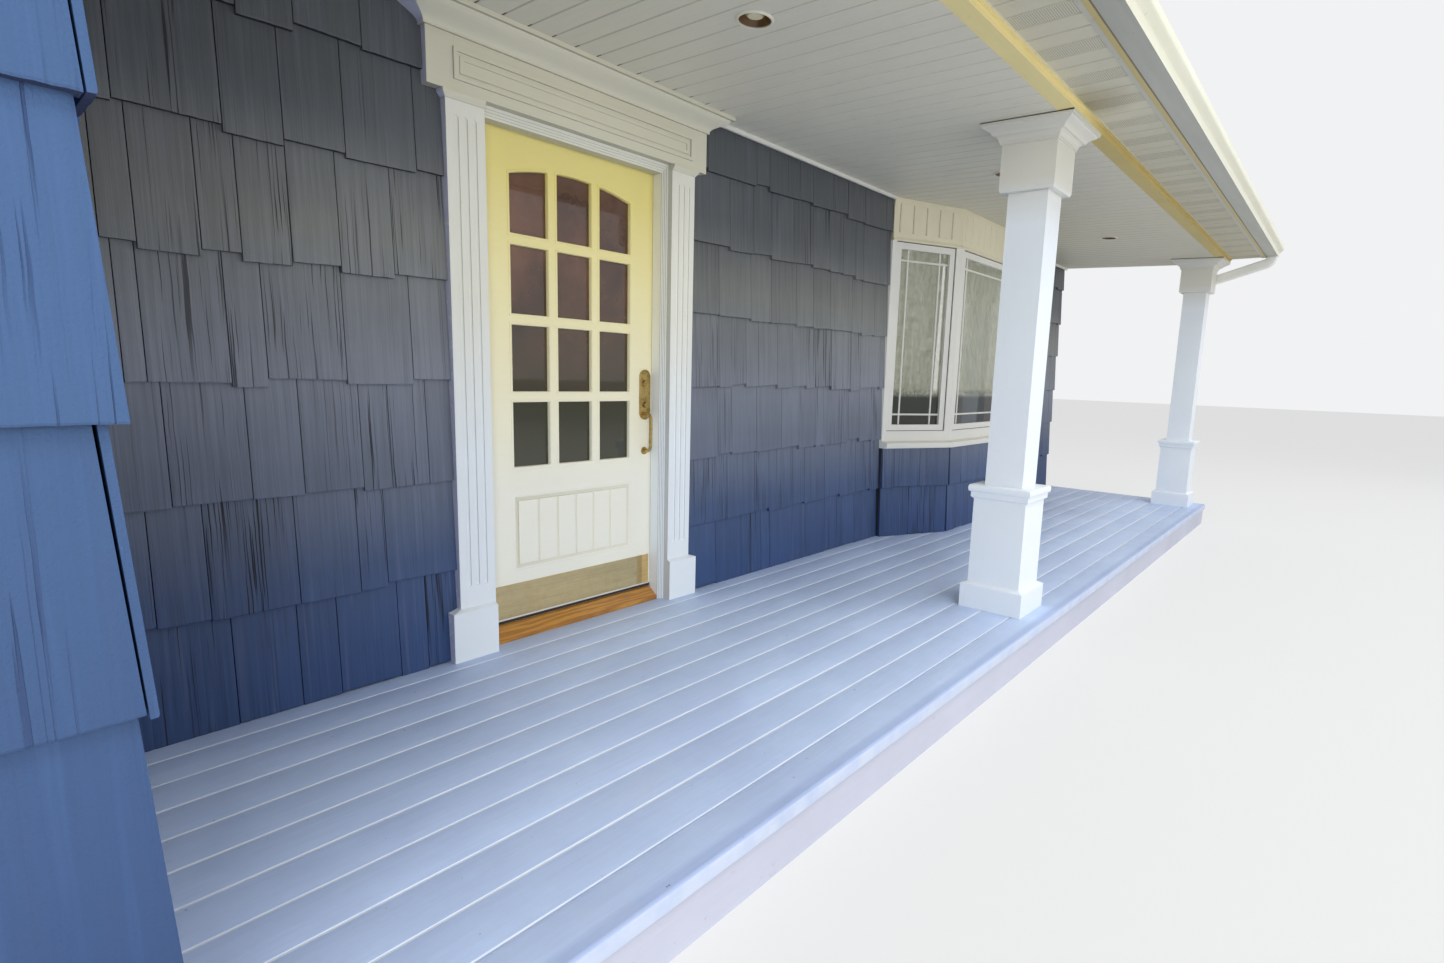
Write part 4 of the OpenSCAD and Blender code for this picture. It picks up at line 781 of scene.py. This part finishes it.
def makeBayBand():
    b = baySet
    low, thick = b["bandLow"], b["bandThick"]
    store, jointShades = emptyStore(), emptyStore()
    half = math.tan(bayTurn / 2)
    for i, (at, length) in enumerate(bayFaces):
        startOut = 0.0 if i == 0 else half
        endOut = 0.0 if i == 2 else half

        def edge(depth, side):
            # mitred end of the face at a depth behind it, or a square end against the wall
            return length - depth * endOut - 0.0003 if side else depth * startOut + 0.0003

        outer = [(edge(0, 0), 0.0)]
        s = b["grooveFirst"] if i == 0 else 0.04
        while s < length - 0.02:
            # painted shade: a dark strip at the bottom of each groove
            jointShadeStrip = [(s - 0.0012, 0.0067), (s - 0.0012, 0.0058), (s + 0.0012, 0.0058), (s + 0.0012, 0.0067)]
            plan = [at(q, -d, 0)[:2] for q, d in jointShadeStrip]
            addRings(jointShades, [[(x, y, low + 0.055) for x, y in plan],
                              [(x, y, ceilingAt(y) - 0.037) for x, y in plan]])
            outer += [(s - 0.0055, 0.0), (s - 0.001, 0.0065), (s + 0.001, 0.0065), (s + 0.0055, 0.0)]
            s += b["groovePitch"]
        outer += [(edge(0, 1), 0.0), (edge(thick, 1), thick), (edge(thick, 0), thick)]
        plan = [at(s, -d, 0)[:2] for s, d in outer]
        addRings(store, [[(x, y, low) for x, y in plan], [(x, y, ceilingAt(y) - 0.0004) for x, y in plan]])
        # a board at the foot and one under the ceiling, both 3 mm proud
        corners = ((-0.003, 0), (-0.003, 1), (0.002, 1), (0.002, 0))
        plan = [at(edge(d, side), -d, 0)[:2] for d, side in corners]
        addRings(store, [[(x, y, low + rise) for x, y in plan] for rise in (0.0225, 0.055)])
        addRings(store, [[(x, y, ceilingAt(y) - 0.0006 - drop) for x, y in plan] for drop in (0.036, 0.0)])
        nosing = [(0.002, 0), (-0.006, 0), (-0.010, 0.003), (-0.010, 0.009), (-0.007, 0.014),
                  (-0.004, 0.0222), (0.002, 0.0222)]
        addRings(store, [[at(edge(d, side), -d, low + z) for d, z in nosing] for side in (0, 1)])
    # a flat panel from the backs of the band to the wall
    d = thick + 0.0005
    ends = ((0, 0.03), (1, d * half), (2, d * half), (2, bayFaces[2][1] - 0.03))
    inner = [bayFaces[i][0](s, -d, 0)[:2] for i, s in ends]
    plan = [(inner[0][0] + 0.002, -0.0006)] + inner + [(inner[-1][0] - 0.002, -0.0006)]
    addRings(store, [[(x, y, low + rise) for x, y in plan] for rise in (0.0001, 0.012)])
    makePiece("bayBand", store, cream, stands=["bay_head_panel"])
    jointShadePaint = painted("jointShade", (128, 120, 88), 0.1, (3, 3, 1), 0.04, 3, 0.0003, 0.8, 0.2)
    makePiece("bandJointShade", jointShades, jointShadePaint)


def sashEnds(i, length, inset):
    # ends of a face's sash beside its posts, moved in
    return (0.036 if i == 0 else 0.048) + inset, length - (0.036 if i == 2 else 0.048) - inset


def makeBayBars():
    # flat bars a little in from the sash on all sides
    b = baySet
    store = emptyStore()
    w, m, d = b["barWidth"] / 2, b["barMargin"], b["glassDepth"]
    outline = [(-w, 0.0), (-w + 0.003, -0.005), (w - 0.003, -0.005), (w, 0.0)]
    z0, z1 = b["sashLow"] + 0.045, b["sashHigh"] - 0.045
    for i, (at, length) in enumerate(bayFaces):
        s0, s1 = sashEnds(i, length, 0.048)
        for s in (s0 + m, s1 - m):
            addRings(store, [[at(s + u, -(d + v), z) for u, v in outline] for z in (z0 + 0.001, z1 - 0.001)])
        for z in (z0 + m, z1 - m):
            addRings(store, [[at(s, -(d + v - 0.0002), z + u) for u, v in outline]
                             for s in (s0 + 0.001, s1 - 0.001)])
    makePiece("windowBars", store, trimWhite)


def makeSashGapShade():
    # painted shade: a dark line round each sash, in the gap inside the post and band edges
    b = baySet
    store = emptyStore()
    face = b["sashFace"]
    z0, z1 = b["sashLow"] - 0.0002, b["sashHigh"] + 0.0028
    for i, (at, length) in enumerate(bayFaces):
        s0, s1 = sashEnds(i, length, 0.0002)
        for a, c in ((s0, s0 + 0.0046), (s1 - 0.0046, s1)):
            plan = [(a, -0.0006), (c, -0.0006), (c, 0.006), (a, 0.006)]
            addRings(store, [[at(s, -(d + face), z) for s, d in plan] for z in (z0, z1)])
        for a, c in ((z0, z0 + 0.0034), (z1 - 0.0046, z1)):
            tall = [(-0.0006, a), (-0.0006, c), (0.006, c), (0.006, a)]
            addRings(store, [[at(s, -(d + face), z) for d, z in tall] for s in (s0 + 0.0048, s1 - 0.0048)])
    makePiece("sashGapShade", store, shadeAndRubber)


curtainSet = {"depth": 0.118, "top": 2.243, "low": 1.215, "fold": 0.062, "swing": 0.017, "scallop": 0.058,
              "dip": 0.016, "step": 0.0052, "rows": 14, "rod": 0.006}


def curtainFinish():
    f = startFinish("sheerCloth", 0.85, {"Sheen Weight": 0.2})
    weave = cloudy(f, 420, 2, stretch=(1, 1, 0.3))
    f.ground = ramp(f, weave, (0.3, (222, 222, 216)), (0.7, (242, 242, 238)))
    return finished(f, weave, 0.0004)


def curtainPoint(s, down):
    # along, depth and height of the cloth, from its rod at 0 down to its scalloped hem at 1
    c = curtainSet
    hem = c["dip"] * abs(math.sin(math.pi * s / c["scallop"]))
    pleat = math.sin(2 * math.pi * s / c["fold"] + 0.7 * math.sin(3 * s + 2.2 * down))
    fold = c["swing"] * (0.55 + 0.45 * down) * pleat
    z = c["top"] + (c["low"] + c["dip"] - hem - c["top"]) * down
    return s, -(c["depth"] + fold + 0.004 * math.sin(9 * s + 4 * down)), z


def makeCurtains():
    c = curtainSet
    rows, depth, rodZ = c["rows"], c["depth"], c["top"] - 0.004
    cloth = curtainFinish()
    rods = emptyStore()
    turns = [math.radians(30 * k) for k in range(12)]
    tube = [(c["rod"] * math.cos(t), c["rod"] * math.sin(t)) for t in turns]
    for i, (at, length) in enumerate(bayFaces):
        inset = 0.06 if i == 1 else 0.075
        a, b = inset, length - inset
        columns = round((b - a) / c["step"])
        points = [at(*curtainPoint(a + (b - a) * k / columns, r / rows))
                  for r in range(rows + 1) for k in range(columns + 1)]
        corners = [r * (columns + 1) + k for r in range(rows) for k in range(columns)]
        faces = [(q, q + 1, q + columns + 2, q + columns + 1) for q in corners]
        mesh = bpy.data.meshes.new(f"curtain{i + 1}")
        mesh.from_pydata(points, [], faces)
        mesh.polygons.foreach_set("use_smooth", [True] * len(faces))
        mesh.materials.append(cloth.material)
        curtain = setOut(f"curtain{i + 1}", mesh)
        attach(curtain, "porch")
        addRings(rods, [[at(s, -(depth + u), rodZ + v) for u, v in tube] for s in (a - 0.012, b + 0.012)])
        for s in (a - 0.006, b + 0.006):
            addRings(rods, [[at(s + u, -(depth + v), z) for u, v in tube] for z in (rodZ, 2.2625)])
    makePiece("curtainRods", rods, trimWhite, smooth=40)


makeBayBand()
makeBayBars()
makeSashGapShade()
makeCurtains()
print("bay fitted")

# door: beads round every lite on both faces, moulding in the lower panel's moat, a sweep under it
doorSet = {"half": 0.310, "low": 0.910, "liteW": 0.180, "liteH": 0.274, "bar": 0.040, "archR": 1.06757,
           "archZ": 1.05843, "face": 0.058, "back": 0.102, "panel": (-0.316, 0.316, 0.468, 0.793),
           "foot": (254, 251, 236), "head": (246, 230, 146)}


def doorFinish():
    # yellow at the head and paler towards the foot as painted light, with painted shade in the panel's moat
    f = startFinish("doorPaint", 0.33)
    x, y, z = split(f, f.place)
    # painted light: yellow at the head, paler towards the foot
    f.ground = mixed(f, between(f, z, 0.8, 2.1), doorSet["foot"], doorSet["head"])
    marks = cloudy(f, 6, 3, 0.6, stretch=(2, 2, 30))
    tint(f, ramp(f, cloudy(f, 1.4, 4), (0.3, 0.97), (0.7, 1.0)))
    tint(f, ramp(f, marks, (0.25, 0.98), (0.75, 1.0)))
    # painted shade in the moat round the lower panel
    moat = times(f, band(f, y, 0.0594, 0.085, 0.0006), band(f, x, -0.335, 0.335), band(f, z, 0.40, 0.86))
    cover(f, times(f, moat, 0.24), (176, 166, 128))
    return finished(f, marks, 0.0003, ramp(f, marks, (0.2, 0.28), (0.8, 0.4)))


doorYellow = doorFinish()


def bothFaces(store, loop, section):
    addMitred(store, loop, section, lambda p, y: (p.x, doorSet["face"] + y, p.y))
    addMitred(store, loop, section, lambda p, y: (p.x, doorSet["back"] - y, p.y))


def makeDoorTrim():
    d = doorSet
    store = emptyStore()
    profile = [(-0.009, 0.0004), (-0.008, -0.0028), (-0.004, -0.0036), (0.0, -0.0022), (0.0022, 0.001),
               (0.0024, 0.0188), (-0.001, 0.0188), (-0.001, 0.0004)]
    for k in range(4):
        for i in range(3):
            x0 = -d["half"] + i * (d["liteW"] + d["bar"])
            z0 = d["low"] + k * (d["liteH"] + d["bar"])
            x1 = x0 + d["liteW"]
            if k == 3:  # arched head
                head = [(x1 + (x0 - x1) * q / 8) for q in range(9)]
                upper = [(x, d["archZ"] + math.sqrt(d["archR"] ** 2 - x * x)) for x in head]
            else:
                upper = [(x1, z0 + d["liteH"]), (x0, z0 + d["liteH"])]
            bothFaces(store, [(x0, z0), (x1, z0)] + upper, profile)
    makePiece("glazingBeads", store, doorYellow, body="door", smooth=50)
    store = emptyStore()
    x0, x1, z0, z1 = d["panel"]
    moulding = [(0.0, 0.0085), (0.0, 0.0), (0.002, -0.0016), (0.006, -0.0018), (0.009, 0.0002),
                (0.012, 0.0026), (0.018, 0.0046), (0.022, 0.0072), (0.0255, 0.0085)]
    bothFaces(store, [(x0, z0), (x1, z0), (x1, z1), (x0, z1)], moulding)
    makePiece("panelMoulding", store, doorYellow, body="door", smooth=50)
    sweepMetal = painted("sweepMetal", (226, 226, 220), 0.03, (1, 40, 40), 0.02, 3, 0.0002, 0.35, 0.2)
    for name, front, low, high, ease, f, slot in (
            ("sweepHolder", 0.0545, 0.2618, 0.2690, 0.0008, sweepMetal, "light_metal"),
            ("sweepStrip", 0.0550, 0.2503, 0.2617, 0.0006, shadeAndRubber, "aged_brass")):
        strip = emptyStore()
        addBlock(strip, (-0.440, front, low), (0.440, 0.0581, high), ease)
        makePiece(name, strip, f, body="door")


makeDoorTrim()
print("door fitted")


def glassFinish(name, deep, light, clear, paleReflection=None, foot=None):
    # dark and glossy, its dark mottled colour painted reflection and painted shade of the room behind, with a
    # pale painted reflection where curtains hang behind it, or another tone at its foot
    f = startFinish(name, 0.03, {"IOR": 1.5, "Coat Weight": 0.6})
    z = split(f, f.place)[2]
    # painted reflection and painted shade: dark, mottled glass
    f.ground = ramp(f, cloudy(f, 3.2, 5, 0.6, stretch=(1, 1, 0.8)), (0.30, deep), (0.72, light))
    if paleReflection:
        shade = between(f, z, 1.19, 1.26)  # about the curtains' hems
        # painted reflection: pale mottles above the curtains' hems
        dapple = ramp(f, cloudy(f, 38, 5, 0.7, stretch=(1, 1, 0.7)), (0.40, paleReflection[0]), (0.62, paleReflection[1]))
        cover(f, shade, dapple)
        clear = between(f, shade, 0.0, 1.0, clear, 0.32)
    plug(f, clear, f.shader.inputs["Alpha"])
    if foot:
        # painted reflection: a darker tone at the foot
        f.ground = mixed(f, between(f, z, 1.15, 1.75), foot, f.ground)
    return finished(f, cloudy(f, 2.4, 2), 0.0009)


def brassFinish(name, bright, dull, roughness, patina, grain):
    # brushed, with darker patina in patches
    f = startFinish(name, roughness, {"Metallic": 1.0})
    marks = cloudy(f, 120, 3, stretch=grain)
    f.ground = ramp(f, marks, (0.3, toneRange(bright, 0.1)[0]), (0.7, bright))
    soil(f, dull, 0.45, 0.72, patina, 28, 6, 0.65)
    return finished(f, marks, 0.00025, ramp(f, marks, (0.2, roughness * 0.7), (0.8, roughness * 1.4)))


def oakFinish():
    f = startFinish("oakVarnish", 0.28, {"Coat Weight": 0.5, "Coat Roughness": 0.12})
    rings = add(f, "TexWave", {"Vector": stretched(f, (0.12, 1, 1), f.place), "Scale": 16, "Distortion": 9,
                               "Detail": 4, "Detail Scale": 1.4}, bands_direction="Y").outputs["Fac"]
    f.ground = ramp(f, rings, (0.1, (176, 118, 46)), (0.55, (196, 136, 54)), (0.9, (206, 148, 64)))
    pores = cloudy(f, 420, 3, stretch=(0.03, 1, 1))
    tint(f, ramp(f, pores, (0.32, 0.72), (0.5, 1.0)))
    return finished(f, pores, 0.0003)


def lightFinish():
    # cream ring, gold reflector and a dim lamp, by the distance from each centre
    f = startFinish("lightTrim", 0.35)
    x, y = split(f, f.place)[:2]
    first, second = ceilingSet["lights"][:2]
    step = second - first
    aside = sums(f, "SUBTRACT", sums(f, "MODULO", plus(f, x, step * 5.5 - first), step), step / 2)
    out = plus(f, y, -ceilingSet["lightY"])
    radius = sums(f, "SQRT", plus(f, times(f, aside, aside), times(f, out, out)))
    f.ground = ramp(f, sums(f, "DIVIDE", radius, 0.08), (0.28, (232, 222, 190)), (0.40, (150, 112, 60)),
                    (0.60, (112, 80, 42)), (0.68, (96, 70, 38)), (0.71, (230, 226, 210)))
    soft = cloudy(f, 45, 4)
    tint(f, ramp(f, soft, (0.3, 0.93), (0.7, 1.0)))
    return finished(f, soft, 0.0002)


def concreteFinish():
    f = startFinish("footingConcrete", 0.9)
    f.ground = ramp(f, cloudy(f, 2.6, 6, 0.6), (0.3, (126, 123, 117)), (0.7, (160, 157, 150)))
    grit = cloudy(f, 90, 6, 0.7)
    tint(f, ramp(f, grit, (0.3, 0.8), (0.6, 1.0)))
    return finished(f, grit, 0.002)


def timberFinish(name, low, high, grain):
    f = startFinish(name, 0.75)
    lines = cloudy(f, 60, 4, 0.6, 0.4, stretch=grain)
    f.ground = ramp(f, lines, (0.3, low), (0.7, high))
    soil(f, toneRange(low, 0.4)[0], 0.70, 0.78, 0.5, 7, 3)  # knots
    return finished(f, lines, 0.0008)


def wallFinish():
    # bare sheathing inside, dark felt on the outer faces under the shingles
    f = timberFinish("sheathingBoard", (150, 134, 104), (190, 174, 140), (0.12, 0.12, 1))
    x, y = split(f, f.place)[:2]
    across, out = facing(f)[:2]
    corner = times(f, below(f, times(f, across, x), -0.8), below(f, y, -0.001))
    felt = ramp(f, cloudy(f, 160, 4), (0.3, (30, 30, 33)), (0.7, (44, 44, 47)))
    cover(f, sums(f, "MAXIMUM", below(f, out, -0.5), corner), felt)
    return finished(f)


def fasciaFinish():
    # seen from below: a dark edge, a yellowed strip and a grey lip
    f = startFinish("fasciaEnamel", 0.4)
    wave = times(f, plus(f, cloudy(f, 5, 3), -0.5), 0.003)
    strip = sums(f, "DIVIDE", plus(f, plus(f, split(f, f.place)[1], wave), 1.802), 0.045)
    f.ground = ramp(f, strip, (0.0, (126, 118, 96)), (0.10, (120, 104, 70)), (0.16, (196, 178, 118)),
                    (0.55, (190, 172, 112)), (0.60, (186, 184, 172)), (1.0, (190, 188, 178)))
    soil(f, (112, 98, 68), 0.60, 0.74, 0.35, 26, 6, 0.7, stretch=(0.5, 1, 1))
    return finished(f, cloudy(f, 40, 4), 0.0004)


def gutterFinish():
    # cream enamel, greyed on the underside as painted shade
    f = startFinish("gutterEnamel", 0.34)
    run = cloudy(f, 9, 5, 0.6, stretch=(0.15, 2, 2))
    f.ground = ramp(f, run, (0.3, (226, 224, 202)), (0.7, (236, 234, 216)))
    # painted shade: greyer on faces that look down
    cover(f, below(f, facing(f)[2], -0.98), ramp(f, run, (0.3, (168, 168, 158)), (0.7, (182, 182, 172))))
    soil(f, (136, 126, 98), 0.62, 0.76, 0.3, 30, 6, 0.7, stretch=(1, 1, 0.4))  # drips
    return finished(f, run, 0.0003)


def surroundFinish(name, tone, brush):
    # white paint, cooler near the deck partly as painted light, greyer with painted shade under each step and
    # beside it, and a ragged lavender seal down the left edge
    f = painted(name, tone, 0.03, brush, 0.02, 1.5, 0.0004, 0.36, 0.12)
    x, y, z = split(f, f.place)
    across, _, up = facing(f)
    # partly painted light: a cooler, bluer white near the deck
    cover(f, ramp(f, sums(f, "DIVIDE", z, 2.6), (0.38, 0.9), (0.61, 0.0)), (241, 247, 252))
    # painted shade: greyer on faces that look down, under each step
    cover(f, times(f, below(f, up, -0.995), 0.8), (176, 173, 158))
    seal = times(f, below(f, across, -0.35), below(f, x, -0.608))
    ragged = ramp(f, cloudy(f, 42, 5, 0.65), (0.34, 0.35), (0.42, 1.0))
    cover(f, times(f, seal, ragged), (206, 206, 224))
    # painted shade: grey on faces that look left, from the door's left casing rightwards
    steps = times(f, below(f, across, -0.9), sums(f, "GREATER_THAN", x, -0.6), below(f, y, -0.0005))
    cover(f, times(f, steps, 0.6), (160, 160, 156))
    return finished(f)


def columnFinish():
    # white paint, warmer at the head partly as painted light, with painted shade in the gap where the capital
    # meets the ceiling
    f = painted("columnPaint", (239, 245, 252), 0.02, (50, 50, 1.5), 0.012, 1.1, 0.0003, 0.38, 0.10)
    _, y, z = split(f, f.place)
    c = ceilingLine
    room = sums(f, "SUBTRACT", times(f, plus(f, y, -c["y"]), c["rise"]), plus(f, z, -c["z"]))
    # partly painted light: warmer from the capital up
    tint(f, ramp(f, sums(f, "DIVIDE", z, 2.6), (0.79, 1.0), (0.87, (232, 224, 208))))
    # painted shade: near black just under the ceiling, on faces that look left
    cover(f, times(f, below(f, room, 0.0045), below(f, facing(f)[0], -0.6)), (34, 32, 30))
    return finished(f)


# finishes of the frame's own nodes
beamCream = painted("beamPaint", (244, 227, 164), 0.06, (0.6, 30, 30), 0.04, 2.2, 0.0006, 0.5, 0.30,
                    (150, 128, 84), 22)
# partly painted shade: the beam darker from the near column to the right
along(beamCream, (0.25, 1.0), (0.31, (212, 204, 174)))
finished(beamCream)
# pale painted reflection for the bay glass, above the curtains' hems
windowReflection = ((150, 152, 118), (222, 224, 196))

dress(concreteFinish(), "foundation_wall")
dress(wallFinish(), "wall_left_of_door", "wall_right_of_door", "wall_over_door", "wall_at_bay",
      "wall_past_bay", "wing_front_wall", "wing_return_wall", "wing_side_wall", "bay_base")
dress(trimWhite, "bay_sill", "bay_posts", "bay_sashes", "ceiling_trim")
dress(glassFinish("windowGlass", (26, 30, 28), (58, 62, 54), 0.94, windowReflection), "bay_glass")
dress(surroundFinish("surroundPaint", (238, 236, 224), (40, 40, 1.5)), "door_frame", "pilasters",
      "plinth_blocks")
dress(surroundFinish("crownPaint", (224, 219, 198), (1.5, 40, 40)), "entablature", "door_crown")
dress(oakFinish(), "threshold")
dress(doorYellow, "door_leaf")
# painted reflection: brownish door glass, darker at its foot
dress(glassFinish("doorGlass", (66, 42, 32), (128, 86, 64), 0.93, foot=(50, 50, 28)), "door_glass")
dress(brassFinish("brightBrass", (255, 222, 160), (216, 176, 108), 0.06, 0.3, (0.05, 1, 1)), "kick_plate")
dress(brassFinish("agedBrass", (206, 178, 116), (112, 88, 50), 0.30, 0.7, (1, 1, 0.3)), "door_handle",
      "leaf_hinges", "jamb_hinges")
dress(painted("riserPaint", (198, 200, 216), 0.05, (0.8, 20, 20), 0.03, 1.8, 0.0006, 0.5, 0.35,
              (104, 98, 104), 30), "deck_risers")
dress(timberFinish("joistTimber", (132, 104, 68), (176, 146, 104), (1, 0.08, 1)), "deck_joists")
dress(columnFinish(), "pedestals", "pedestal_caps", "column_shafts", "capitals")
dress(beamCream, "porch_beam")
dress(lightFinish(), "recessed_lights")
dress(fasciaFinish(), "eave_fascia")
dress(gutterFinish(), "gutter")
dress(painted("pipeEnamel", (236, 236, 230), 0.03, (20, 20, 1), 0.02, 1.4, 0.0003, 0.34, 0.15), "downpipe")
dress(painted("gablePaint", (236, 233, 222), 0.04, (20, 1, 20), 0.02, 1.2, 0.0005, 0.45, 0.2), "gable_panels")
print("finishes given")
